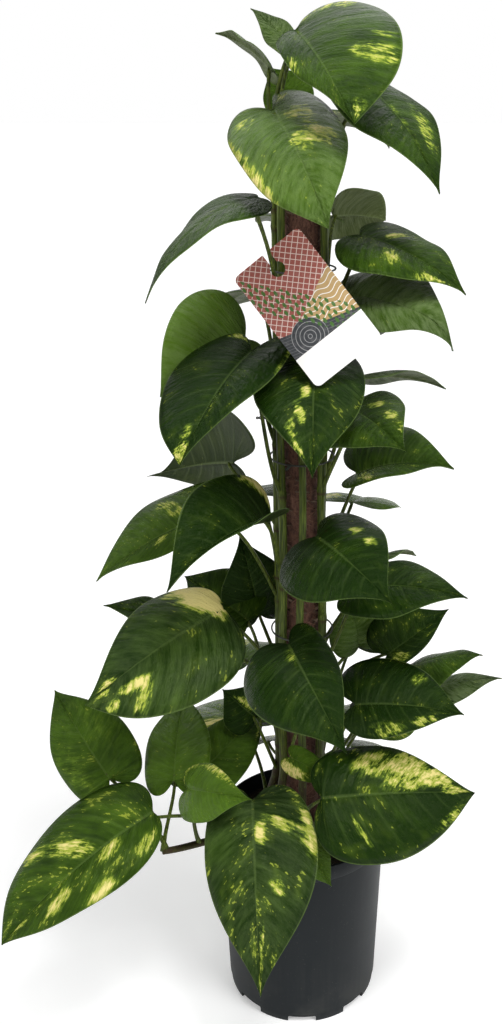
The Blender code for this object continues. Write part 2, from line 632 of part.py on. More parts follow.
def build_tie(index, height, parts):
    """A wire ring that holds the stems to the pole, with a short twisted tail."""
    bm = bmesh.new()
    radius = tie_radius(height)
    place = Matrix.Translation((radius * MM, 0.0, 0.0)) @ Matrix.Rotation(math.pi / 2.0, 4, "X")
    bmesh.ops.create_circle(bm, cap_ends=False, segments=TIE_WIRE_SIDES, radius=TIE_WIRE * MM, matrix=place)
    bmesh.ops.spin(bm, geom=bm.edges[:], angle=math.tau, steps=TIE_SIDES, axis=(0.0, 0.0, 1.0),
                   use_merge=True)
    bmesh.ops.remove_doubles(bm, verts=bm.verts, dist=0.01 * MM)
    bmesh.ops.recalc_face_normals(bm, faces=bm.faces)
    mesh = bpy.data.meshes.new(f"tie_{index}")
    bm.to_mesh(mesh)
    bm.free()
    ring = add_object(f"tie_{index}", mesh, parts, material(f"tie wire {index}", (0.03, 0.03, 0.03), 0.5))
    ring.location.z = height * MM
    turn = math.radians(TIE_TAIL_TURNS[index % len(TIE_TAIL_TURNS)])
    out = Vector((math.cos(turn), math.sin(turn), 0.0))
    line = [(out * (radius + reach), TIE_WIRE * 0.9) for reach in (0.0, TIE_TAIL * 0.5, TIE_TAIL)]
    lifted = [(p + Vector((0.0, 0.0, height + 0.15 * i)), r) for i, (p, r) in enumerate(line)]
    growth = bpy.data.collections.new("tie_tail")
    bpy.context.scene.collection.children.link(growth)
    tube("tail", lifted, growth)
    join = ring.modifiers.new("Tail", "BOOLEAN")
    join.operation = "UNION"
    join.operand_type = "COLLECTION"
    join.collection = growth
    bpy.context.view_layer.update()
    made = evaluated_mesh(ring, ring.name)
    ring.modifiers.clear()
    ring.data = made
    for piece in list(growth.objects):
        bpy.data.objects.remove(piece)
    bpy.data.collections.remove(growth)


def label_frame():
    """The label's axes at its keyhole, which the petiole of one upper leaf passes through."""
    stem = STEMS[0]
    leaf = stem.leaves[LABEL_LEAF]
    points = petiole_points(stem, leaf)
    down = Vector(LABEL_DOWN).normalized()
    face = Vector(LABEL_FACE)
    face = (face - down * face.dot(down)).normalized()
    frame = Matrix((down.cross(face), down, face)).transposed().to_4x4()
    slack = LABEL_HOLE_RADIUS - PETIOLE_RADIUS - FIT_GAP
    swing = math.radians(LABEL_HANG)
    hang = frame.col[0].to_3d() * math.sin(swing) + down * math.cos(swing)
    frame.translation = points[LABEL_PETIOLE_STEP] + hang * slack
    return frame


def label_outline():
    """The card's outline in its own plane, with rounded corners and a keyhole open to the top edge."""
    half, top, bottom = LABEL_WIDTH / 2.0, -LABEL_HOLE_INSET, LABEL_LENGTH - LABEL_HOLE_INSET
    points = []
    right, high, low = half - LABEL_CORNER, top + LABEL_CORNER, bottom - LABEL_CORNER
    corners = ((right, high, -90.0), (right, low, 0.0), (-right, low, 90.0), (-right, high, 180.0))
    for x, y, start in corners:
        for step in range(LABEL_CORNER_STEPS + 1):
            turn = math.radians(start + 90.0 * step / LABEL_CORNER_STEPS)
            points.append((x + LABEL_CORNER * math.cos(turn), y + LABEL_CORNER * math.sin(turn)))
    slot = LABEL_SLOT / 2.0
    open_turn = math.asin(slot / LABEL_HOLE_RADIUS)
    points.append((-slot, top))
    for step in range(LABEL_HOLE_STEPS + 1):
        turn = -math.pi / 2.0 - open_turn - (math.tau - 2.0 * open_turn) * step / LABEL_HOLE_STEPS
        points.append((LABEL_HOLE_RADIUS * math.cos(turn), LABEL_HOLE_RADIUS * math.sin(turn)))
    points.append((slot, top))
    return points


def build_label(parts):
    """A stiff plastic card that hangs by its keyhole."""
    curve = bpy.data.curves.new("plant_label", "CURVE")
    curve.dimensions = "2D"
    curve.fill_mode = "BOTH"
    curve.extrude = LABEL_THICKNESS / 2.0 * MM
    outline = label_outline()
    spline = curve.splines.new("POLY")
    spline.points.add(len(outline) - 1)
    for point, (x, y) in zip(spline.points, outline):
        point.co = (x * MM, y * MM, 0.0, 1.0)
    spline.use_cyclic_u = True
    card = add_object("plant_label", curve, parts, material("label card", (0.75, 0.72, 0.66), 0.35))
    frame = label_frame()
    frame.translation *= MM
    card.matrix_world = frame


def main():
    for thing in list(bpy.data.objects):
        bpy.data.objects.remove(thing)
    parts = bpy.data.collections.new("potted_pothos")
    cutters = bpy.data.collections.new("cutters")
    for collection in (parts, cutters):
        bpy.context.scene.collection.children.link(collection)
    build_pot(parts, cutters)
    build_soil(parts, cutters)
    build_pole(parts)
    for stem in STEMS:
        build_stem(stem, parts)
    for index, height in enumerate(TIE_HEIGHTS):
        build_tie(index, height, parts)
    build_label(parts)


if __name__ == "__main__":
    main()
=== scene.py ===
"""Looks of a potted golden pothos that climbs a coir pole in a nursery pot.

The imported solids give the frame. The foliage, canes, pole, ties, soil, pot and label are finer pieces that
keep the form and place of the solids they stand for. Layout numbers are millimetres, with the viewer of the
front at -Y and the origin in the middle of the pot's underside. Each finish is procedural.
"""

from __future__ import annotations

import json
import logging
import math
import random
from collections.abc import Callable, Iterable, Sequence
from dataclasses import dataclass
from enum import Enum
from typing import Any, Union

import bmesh
import bpy
from mathutils import Matrix, Quaternion, Vector, noise

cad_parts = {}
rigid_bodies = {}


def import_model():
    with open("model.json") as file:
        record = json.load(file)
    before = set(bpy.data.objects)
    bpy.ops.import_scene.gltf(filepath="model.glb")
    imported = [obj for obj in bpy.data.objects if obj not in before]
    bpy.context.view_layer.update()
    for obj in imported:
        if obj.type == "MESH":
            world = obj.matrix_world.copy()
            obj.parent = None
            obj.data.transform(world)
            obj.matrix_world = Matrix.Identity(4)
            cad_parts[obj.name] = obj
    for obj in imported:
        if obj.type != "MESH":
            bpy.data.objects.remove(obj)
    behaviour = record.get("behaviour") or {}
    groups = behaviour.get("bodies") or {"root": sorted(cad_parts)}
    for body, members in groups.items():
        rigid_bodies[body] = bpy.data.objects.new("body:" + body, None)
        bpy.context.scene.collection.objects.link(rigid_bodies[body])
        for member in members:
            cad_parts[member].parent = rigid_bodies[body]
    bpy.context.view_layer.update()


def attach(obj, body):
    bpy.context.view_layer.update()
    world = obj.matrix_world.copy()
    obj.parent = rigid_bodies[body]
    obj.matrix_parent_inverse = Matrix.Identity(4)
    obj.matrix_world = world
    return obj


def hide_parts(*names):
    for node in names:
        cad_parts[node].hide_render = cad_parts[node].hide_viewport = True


MM = 0.001
BODY = "root"
LOG = logging.getLogger("pothos")

SOIL_TOP = 186.0
CANE_ORBIT = 23.6
PETIOLE_RADIUS = 2.0
VEIN_COUNT = 11.0
VEIN_SHIFT = 0.045
# The blade's attributes; the third is how much painted sheen goes into the blade's colour.
BLADE_LAYERS = ("gold", "tone", "grey", "fleck", "seed")
CARD_SPAN = 100.0

Colour = tuple[float, float, float]
Point = tuple[float, float, float]
Spot = tuple[float, float, float, float, float]


# Shader expressions


def operator(operation: str, flipped: bool = False) -> Callable[..., Signal]:
    """Make a method of Signal that adds a Math node.

    Args:
        operation: The node's operation.
        flipped: Whether the other value comes first.

    Returns:
        The method.
    """

    def method(self: Signal, *others: Value) -> Signal:
        """Return the operation's result for the signal and the others."""
        values = (self, *others)
        return self.math(operation, *(values[::-1] if flipped else values))

    return method


class Signal:
    """A socket that takes part in Python arithmetic, where each operation adds a Math node."""

    __add__ = operator("ADD")
    __radd__ = operator("ADD", flipped=True)
    __sub__ = operator("SUBTRACT")
    __rsub__ = operator("SUBTRACT", flipped=True)
    __mul__ = operator("MULTIPLY")
    __rmul__ = operator("MULTIPLY", flipped=True)
    __pow__ = operator("POWER")
    __abs__ = operator("ABSOLUTE")
    floor = operator("FLOOR")
    fraction = operator("FRACT")
    over = operator("GREATER_THAN")
    pong = operator("PINGPONG")
    sine = operator("SINE")
    top = operator("MAXIMUM")

    def __init__(self, bench: Bench, socket: bpy.types.NodeSocket) -> None:
        """Wrap an output socket of the bench's tree."""
        self.bench = bench
        self.socket = socket

    def math(self, operation: str, *values: Value) -> Signal:
        """Return the result of a Math node on the values in order."""
        return self.bench.add("ShaderNodeMath", {"operation": operation}, dict(enumerate(values)))

    def about(self, reach: float) -> Signal:
        """Return the signal's distance from 0.5, times the reach."""
        return (self - 0.5) * reach

    def ramp(self, low: float, high: float) -> Signal:
        """Rise smoothly from 0 to 1.

        Args:
            low: The value that gives 0.
            high: The value that gives 1, which may be the lower one.

        Returns:
            The smooth step.
        """
        limits = {"Value": self, "From Min": min(low, high), "From Max": max(low, high)}
        step = self.bench.add("ShaderNodeMapRange", {"interpolation_type": "SMOOTHSTEP"}, limits)
        return step if low < high else 1.0 - step


Value = Union[Signal, float]


class Bench:
    """The node tree of one finish, with a Principled shader at its end."""

    def __init__(self, name: str) -> None:
        """Start a material of this name.

        Args:
            name: The material's name.
        """
        self.material = bpy.data.materials.new(name)
        self.material.use_nodes = True
        self.tree = self.material.node_tree
        self.shader = self.tree.nodes["Principled BSDF"]

    def add(
        self,
        kind: str,
        settings: dict[str, Any] | None = None,
        sockets: dict[Any, Any] | None = None,
        output: int | str = 0,
    ) -> Signal:
        """Add a node.

        Args:
            kind: The node's type.
            settings: Its own settings.
            sockets: Values or signals for its inputs, by name or number.
            output: Which of its outputs to return.

        Returns:
            The chosen output.
        """
        node = self.tree.nodes.new(kind)
        for key, value in (settings or {}).items():
            setattr(node, key, value)
        for key, value in (sockets or {}).items():
            self.feed(node.inputs[key], value)
        return Signal(self, node.outputs[output])

    def feed(self, socket: bpy.types.NodeSocket, value: Any) -> None:
        """Link a signal to an input, or set the input's own value.

        Args:
            socket: The input.
            value: A signal, a number, a colour or a vector.
        """
        if isinstance(value, Signal):
            self.tree.links.new(value.socket, socket)
        elif isinstance(value, tuple) and socket.type == "RGBA":
            socket.default_value = (*value, 1.0)
        else:
            socket.default_value = value

    def set(self, **values: Any) -> None:
        """Set inputs of the Principled shader, named with underscores for spaces."""
        for key, value in values.items():
            self.feed(self.shader.inputs[key.replace("_", " ")], value)

    def mix(self, share: Value, first: Any, second: Any) -> Signal:
        """Return a blend of two colours, where the share is the second one's."""
        return self.add("ShaderNodeMix", {"data_type": "RGBA"}, {0: share, 6: first, 7: second}, 2)

    def place(self) -> Signal:
        """Return the point in the object's own coordinates."""
        return self.add("ShaderNodeTexCoord", output="Object")

    def unwrapped(self, name: str) -> tuple[Signal, Signal, Signal]:
        """Return the three numbers of a UV map."""
        return self.parts(self.add("ShaderNodeUVMap", {"uv_map": name}))

    def scaled(self, vector: Signal, x: float, y: float, z: float) -> Signal:
        """Return the vector with each axis multiplied."""
        return self.add("ShaderNodeVectorMath", {"operation": "MULTIPLY"}, {0: vector, 1: (x, y, z)})

    def parts(self, vector: Signal) -> tuple[Signal, Signal, Signal]:
        """Return the three numbers of a vector."""
        node = self.add("ShaderNodeSeparateXYZ", sockets={0: vector}).socket.node
        return tuple(Signal(self, output) for output in node.outputs)

    def vector(self, x: Value, y: Value, z: Value) -> Signal:
        """Return a vector of three numbers."""
        return self.add("ShaderNodeCombineXYZ", sockets={0: x, 1: y, 2: z})

    def attribute(self, name: str) -> Signal:
        """Return a number that the mesh carries."""
        return self.add("ShaderNodeAttribute", {"attribute_name": name}, output="Fac")

    def grain(self, vector: Signal, scale: float, detail: float = 3.0, rough: float = 0.55) -> Signal:
        """Return noise about 0.5, where detail counts the octaves and rough weighs the fine ones."""
        sockets = {"Vector": vector, "Scale": scale, "Detail": detail, "Roughness": rough}
        return self.add("ShaderNodeTexNoise", None, sockets)

    def bump(self, height: Signal, depth: float) -> Signal:
        """Return a normal bumped by the height, this many millimetres deep."""
        return self.add("ShaderNodeBump", None, {"Height": height, "Distance": depth * MM})


# Finishes


class Finish:
    """A procedural material."""

    name: str

    def build(self) -> bpy.types.Material:
        """Build the material.

        Returns:
            It, with its nodes in place.
        """
        bench = Bench(self.name)
        self.dress(bench)
        return bench.material

    def dress(self, bench: Bench) -> None:
        """Add the nodes.

        Args:
            bench: The node tree that takes them.
        """
        raise NotImplementedError


@dataclass(frozen=True)
class BladeFinish(Finish):
    """The waxy upper or the dull under side of the blades, with veins, gold patches, flecks and painted
    sheen streaks.
    """

    name: str
    deep: Colour
    bright: Colour
    lime: Colour
    cream: Colour
    sap: Colour
    vein: Colour
    vein_share: float
    gloss: float
    shine: float
    glint: Colour
    relief: float
    vein_height: float
    # Pale grey-green of the painted sheen streaks, which stand in for soft reflections on the waxy skin.
    dust_and_sheen: Colour = (0.22, 0.26, 0.15)

    def dress(self, bench: Bench) -> None:
        """Add the nodes, which read the UV map "veins" and the blade's own attributes.

        Args:
            bench: The node tree that takes them.
        """
        x, along, _ = bench.unwrapped("veins")
        signed = x * 2.0 - 1.0
        across = abs(signed)
        half = signed.over(0.0)
        gold, tone, grey, fleck, seed = (bench.attribute(name) for name in BLADE_LAYERS)
        side = half * 7.0 + seed * 31.0

        def skin(wide: float, long: float, detail: float, rough: float) -> Signal:
            """Return noise stretched along the veins, finer as wide and long grow."""
            return bench.grain(bench.vector(across * wide, along * long, side), 1.0, detail, rough)

        streak = skin(2.2, 40.0, 5.0, 0.62)
        fine = skin(7.0, 110.0, 4.0, 0.7)
        speck = skin(9.0, 74.0, 2.5, 0.6)
        cluster = skin(2.4, 9.0, 2.0, 0.5)
        blotch = skin(5.0, 24.0, 3.0, 0.6)
        cloud = bench.grain(bench.place(), 28.0, 3.0, 0.5)
        veins = self.vein_lines(along + half * VEIN_SHIFT, across)
        broken = streak.about(2.2) + blotch.about(2.6) + fine.about(2.2)
        field = gold + gold.ramp(0.02, 0.4) * broken
        patch = field.ramp(0.58, 0.68)
        spots = (speck + cluster.about(0.75) + fleck * 0.12).ramp(0.76, 0.83)
        shade = (tone + cloud.about(0.7) + streak.about(0.7)).ramp(-0.1, 1.1)
        haze = (field.ramp(0.05, 0.7) * 0.75).top((cluster - 0.5).ramp(0.0, 0.25) * fleck * 0.4)
        colour = bench.mix(haze, bench.mix(shade, self.deep, self.bright), self.sap)
        colour = bench.mix(veins * self.vein_share, colour, self.vein)
        colour = bench.mix(spots * (0.3 + fleck * 0.5), colour, self.lime)
        yellow = bench.mix((field - 0.75 + fine.about(0.8)).ramp(0.0, 0.8), self.lime, self.cream)
        colour = bench.mix(patch, colour, yellow)
        # Painted sheen: pale streaks along the veins, as strong as the blade's sheen number, that stand in
        # for soft reflections, less over the gold.
        painted_sheen_streaks = grey * (streak - 0.3).ramp(0.0, 0.35) * (1.0 - patch * 0.8) * 0.5
        colour = bench.mix(painted_sheen_streaks, colour, self.dust_and_sheen)
        bench.set(Base_Color=bench.mix(across.ramp(0.972, 0.994) * 0.45, colour, self.vein))
        bench.set(Roughness=self.gloss + cloud.about(0.16) + grey * 0.1 + fine.about(0.16))
        bench.set(Specular_IOR_Level=self.shine, Specular_Tint=self.glint)
        height = fine * 0.16 + streak * 0.6 + blotch * 0.5 + veins * self.vein_height
        bench.set(Normal=bench.bump(height, self.relief))

    @staticmethod
    def vein_lines(along: Signal, across: Signal) -> Signal:
        """Mark the side veins and the midrib.

        Args:
            along: From 0 at the blade's base to 1 at its tip, along the veins' feet.
            across: From 0 at the midrib to 1 at the margin.

        Returns:
            1 on a vein and 0 between veins.
        """
        gap = abs((along * VEIN_COUNT).fraction() - 0.5)
        side_veins = gap.ramp(0.13, 0.0) * across.ramp(1.0, 0.4) * 0.4
        return side_veins.top(across.ramp(0.04, 0.012))


@dataclass(frozen=True)
class CaneFinish(Finish):
    """Green cane and petiole skin that turns brown with age and at the nodes."""

    name: str
    young: Colour
    ripe: Colour
    bark: Colour
    gloss: float
    shine: float

    def dress(self, bench: Bench) -> None:
        """Add the nodes, which read the attribute "age".

        Args:
            bench: The node tree that takes them.
        """
        place = bench.place()
        age = bench.attribute("age")
        stripes = bench.grain(bench.scaled(place, 900.0, 900.0, 45.0), 1.0, 3.0, 0.6)
        blotch = bench.grain(place, 160.0, 4.0, 0.6)
        green = bench.mix((stripes - 0.35).ramp(0.0, 0.4), self.ripe, self.young)
        bench.set(Base_Color=bench.mix((age + blotch.about(0.9)).ramp(0.3, 0.85), green, self.bark))
        bench.set(Roughness=self.gloss + age * 0.3 + blotch.about(0.15))
        bench.set(Specular_IOR_Level=self.shine)
        bench.set(Normal=bench.bump(stripes + blotch * age, 0.3))


@dataclass(frozen=True)
class MottledFinish(Finish):
    """A surface of two colours in noise, for coir, soil, bark, grit, wood and the floor."""

    name: str
    dark: Colour
    light: Colour
    stretch: tuple[float, float, float]
    gloss: float
    depth: float
    glow: float = 0.0

    def dress(self, bench: Bench) -> None:
        """Add the nodes.

        Args:
            bench: The node tree that takes them.
        """
        place = bench.place()
        coarse = bench.grain(bench.scaled(place, *self.stretch), 1.0, 4.0, 0.65)
        fine = bench.grain(bench.scaled(place, *(3.7 * s for s in self.stretch)), 1.0, 3.0, 0.7)
        height = coarse * 0.6 + fine * 0.4
        blend = height.ramp(0.32, 0.7)
        bench.set(Base_Color=bench.mix(blend, self.dark, self.light))
        bench.set(Roughness=self.gloss - blend * 0.1)
        bench.set(Normal=bench.bump(height, self.depth), Emission_Strength=self.glow)


@dataclass(frozen=True)
class PotFinish(Finish):
    """Matte anthracite moulded plastic with fine vertical drag marks, and dust and specks near the foot."""

    name: str = "anthracite plastic"
    body: Colour = (0.006, 0.0088, 0.0105)
    dust_and_sheen: Colour = (0.065, 0.065, 0.06)
    gloss: float = 0.5
    shine: float = 0.15

    def dress(self, bench: Bench) -> None:
        """Add the nodes.

        Args:
            bench: The node tree that takes them.
        """
        place = bench.place()
        _, _, height = bench.parts(place)
        drag = bench.grain(bench.scaled(place, 240.0, 240.0, 6.0), 1.0, 3.0, 0.6)
        cloud = bench.grain(place, 22.0, 4.0, 0.6)
        speck = bench.grain(place, 520.0, 2.0, 0.5)
        low = height.ramp(0.075, 0.0) * cloud.ramp(0.38, 0.72)
        grime = low * 0.35 + speck.ramp(0.68, 0.74) * 0.5 + drag.about(0.22) + cloud.about(0.2)
        grime = grime.top(0.0)
        bench.set(Base_Color=bench.mix(grime, self.body, self.dust_and_sheen))
        bench.set(Roughness=self.gloss + cloud.about(0.16) + grime * 0.3)
        bench.set(Specular_IOR_Level=self.shine)
        bench.set(Normal=bench.bump(drag * 0.6 + bench.grain(place, 1500.0, 2.0, 0.5) * 0.4, 0.06))


@dataclass(frozen=True)
class CardFinish(Finish):
    """A printed card: lattice, leaf rows, waves and rings over a bare pale band."""

    name: str = "printed card"
    paper: Colour = (0.82, 0.81, 0.78)
    red: Colour = (0.3, 0.08, 0.06)
    line: Colour = (0.72, 0.6, 0.54)
    green: Colour = (0.05, 0.13, 0.02)
    ochre: Colour = (0.42, 0.28, 0.12)
    slate: Colour = (0.035, 0.038, 0.042)
    joint: Colour = (0.16, 0.16, 0.165)
    ring: Colour = (0.3, 0.3, 0.3)
    middle: tuple[float, float] = (12.0, 58.0)

    def dress(self, bench: Bench) -> None:
        """Add the nodes, which read the UV map "card", where x crosses the card and y runs down it.

        Args:
            bench: The node tree that takes them.
        """
        x, y, _ = bench.unwrapped("card")
        x, y = x * CARD_SPAN, y * CARD_SPAN
        lattice, crossing = (((way * 0.16).pong(0.5)).ramp(0.08, 0.04) for way in (x + y, x - y))
        ground = bench.mix(lattice.top(crossing), self.red, self.line)
        wave = ((y + (x * 0.35).sine() * 1.6) * 0.22).fraction()
        sand = bench.mix(abs(wave - 0.5).ramp(0.1, 0.04), self.ochre, self.paper)
        fields = bench.mix((y - x * 0.5).over(38.0), ground, sand)
        slant = y + x * 0.3
        joints = abs((slant * 0.4).fraction() - 0.5).ramp(0.08, 0.03)
        fields = bench.mix(slant.over(54.0), fields, bench.mix(joints, self.slate, self.joint))
        reach = ((x - self.middle[0]) ** 2.0 + (y - self.middle[1]) ** 2.0) ** 0.5
        rings = abs((reach * 0.3).fraction() - 0.5).ramp(0.1, 0.06)
        fields = bench.mix(reach.ramp(15.4, 15.0), fields, bench.mix(rings, self.slate, self.ring))
        row = y * 0.17 + 0.1
        cell_x = ((x + row.floor() * 2.6) * 0.19).fraction() - 0.5
        cell_y = row.fraction() - 0.5
        petal = ((cell_x * 1.9) ** 2.0 + (cell_y * 1.15) ** 2.0) ** 0.5
        band = abs((x * 0.75 + y * 0.65) - 26.0).ramp(11.2, 10.8)
        fields = bench.mix(band * petal.ramp(0.5, 0.44), fields, self.green)
        inside = y.over(-16.5) * (1.0 - y.over(66.0)) * (1.0 - abs(x).over(33.5))
        scuff = bench.grain(bench.place(), 300.0, 3.0, 0.6)
        printed = bench.mix(inside, self.paper, fields)
        bench.set(Base_Color=bench.mix((scuff - 0.5).top(0.0) * 0.3, printed, self.paper))
        bench.set(Roughness=0.34 + scuff.about(0.12))
        bench.set(Normal=bench.bump(scuff, 0.02))


@dataclass(frozen=True)
class WireFinish(Finish):
    """Dark plastic-coated wire with scuffs."""

    name: str = "coated wire"
    coat: Colour = (0.02, 0.024, 0.018)
    scuff: Colour = (0.09, 0.1, 0.08)

    def dress(self, bench: Bench) -> None:
        """Add the nodes.

        Args:
            bench: The node tree that takes them.
        """
        worn = bench.grain(bench.place(), 700.0, 3.0, 0.6)
        bench.set(Base_Color=bench.mix(worn.ramp(0.5, 0.7), self.coat, self.scuff))
        bench.set(Roughness=0.4 + worn * 0.2)
        bench.set(Normal=bench.bump(worn, 0.05))


UPPER = BladeFinish(
    name="blade upper side",
    deep=(0.007, 0.021, 0.002),
    bright=(0.082, 0.162, 0.012),
    lime=(0.3, 0.36, 0.042),
    cream=(0.74, 0.64, 0.24),
    sap=(0.125, 0.2, 0.018),
    vein=(0.15, 0.23, 0.06),
    vein_share=0.2,
    gloss=0.25,
    shine=0.1,
    glint=(0.85, 1.0, 0.6),
    relief=4.0,
    vein_height=-0.08,
)
UNDER = BladeFinish(
    name="blade under side",
    deep=(0.014, 0.026, 0.006),
    bright=(0.09, 0.118, 0.03),
    lime=(0.26, 0.32, 0.07),
    cream=(0.6, 0.55, 0.26),
    sap=(0.1, 0.14, 0.035),
    vein=(0.17, 0.22, 0.09),
    vein_share=0.4,
    gloss=0.42,
    shine=0.12,
    glint=(0.9, 1.0, 0.75),
    relief=1.2,
    vein_height=0.3,
)
CANE = CaneFinish("cane skin", (0.12, 0.16, 0.02), (0.024, 0.038, 0.006), (0.04, 0.026, 0.013), 0.4, 0.16)
ROOT = MottledFinish("aerial root", (0.05, 0.03, 0.018), (0.16, 0.1, 0.06), (400.0,) * 3, 0.8, 0.3)
COIR = MottledFinish(
    "coir sleeve", (0.035, 0.013, 0.008), (0.17, 0.075, 0.045), (500.0, 500.0, 150.0), 0.92, 1.0
)
FIBRE = MottledFinish(
    "coir fibre", (0.08, 0.032, 0.018), (0.24, 0.12, 0.07), (300.0, 300.0, 120.0), 0.85, 0.2
)
SOIL = MottledFinish("potting soil", (0.008, 0.005, 0.004), (0.055, 0.035, 0.022), (260.0,) * 3, 0.95, 1.2)
BARK = MottledFinish("bark chip", (0.04, 0.02, 0.012), (0.15, 0.08, 0.045), (150.0, 420.0, 420.0), 0.9, 0.4)
GRIT = MottledFinish("pale grit", (0.45, 0.43, 0.4), (0.8, 0.78, 0.74), (600.0,) * 3, 0.85, 0.4)
WOOD = MottledFinish("stake wood", (0.16, 0.09, 0.045), (0.42, 0.28, 0.16), (420.0, 420.0, 22.0), 0.72, 0.2)
FLOOR = MottledFinish("pale floor", (0.9, 0.9, 0.9), (0.94, 0.94, 0.94), (8.0,) * 3, 0.7, 0.02, glow=0.26)


# The plant's layout


class Tone(Enum):
    """How light a blade's green is, from 0 for a deep one to 1, and how much painted sheen its colour
    carries.
    """

    DEEP = (-0.05, 0.0)
    DARK = (0.18, 0.0)
    EVEN = (0.34, 0.0)
    SATIN = (0.12, 0.12)
    SHEEN = (0.55, 0.3)
    MID = (0.5, 0.0)
    FRESH = (0.75, 0.0)
    PALE = (1.0, 0.35)
    GREYED = (0.35, 0.6)
    OLIVE = (0.6, 0.35)


@dataclass(frozen=True)
class Leaf:
    """One leaf: where its blade starts and ends, which way its upper side looks, its form and its markings.

    A gold spot is (across, along, its reach across, its reach along, strength), where across is positive on
    the half that the blade's first axis points to.
    """

    name: str
    base: Point
    tip: Point
    face: tuple[float, float]
    width: float
    node: float
    tone: Tone = Tone.MID
    gold: tuple[Spot, ...] = ()
    fleck: float = 0.3
    droop: float = 35.0
    fold: float = 14.0
    arch: float = 40.0
    wave: float = 2.5
    twist: float = 0.0
    skew: float = 0.05
    lobe: tuple[float, float] = (1.0, 1.0)
    full: tuple[float, float] = (0.0, 0.0)
    hook: float = 0.0
    route: tuple[Point, ...] = ()


@dataclass(frozen=True)
class Stem:
    """One stem with its leaves, which climbs the pole at an angle up to its top or trails along a path."""

    name: str
    angle: float
    top: float
    leaves: tuple[Leaf, ...]
    path: tuple[Point, ...] = ()


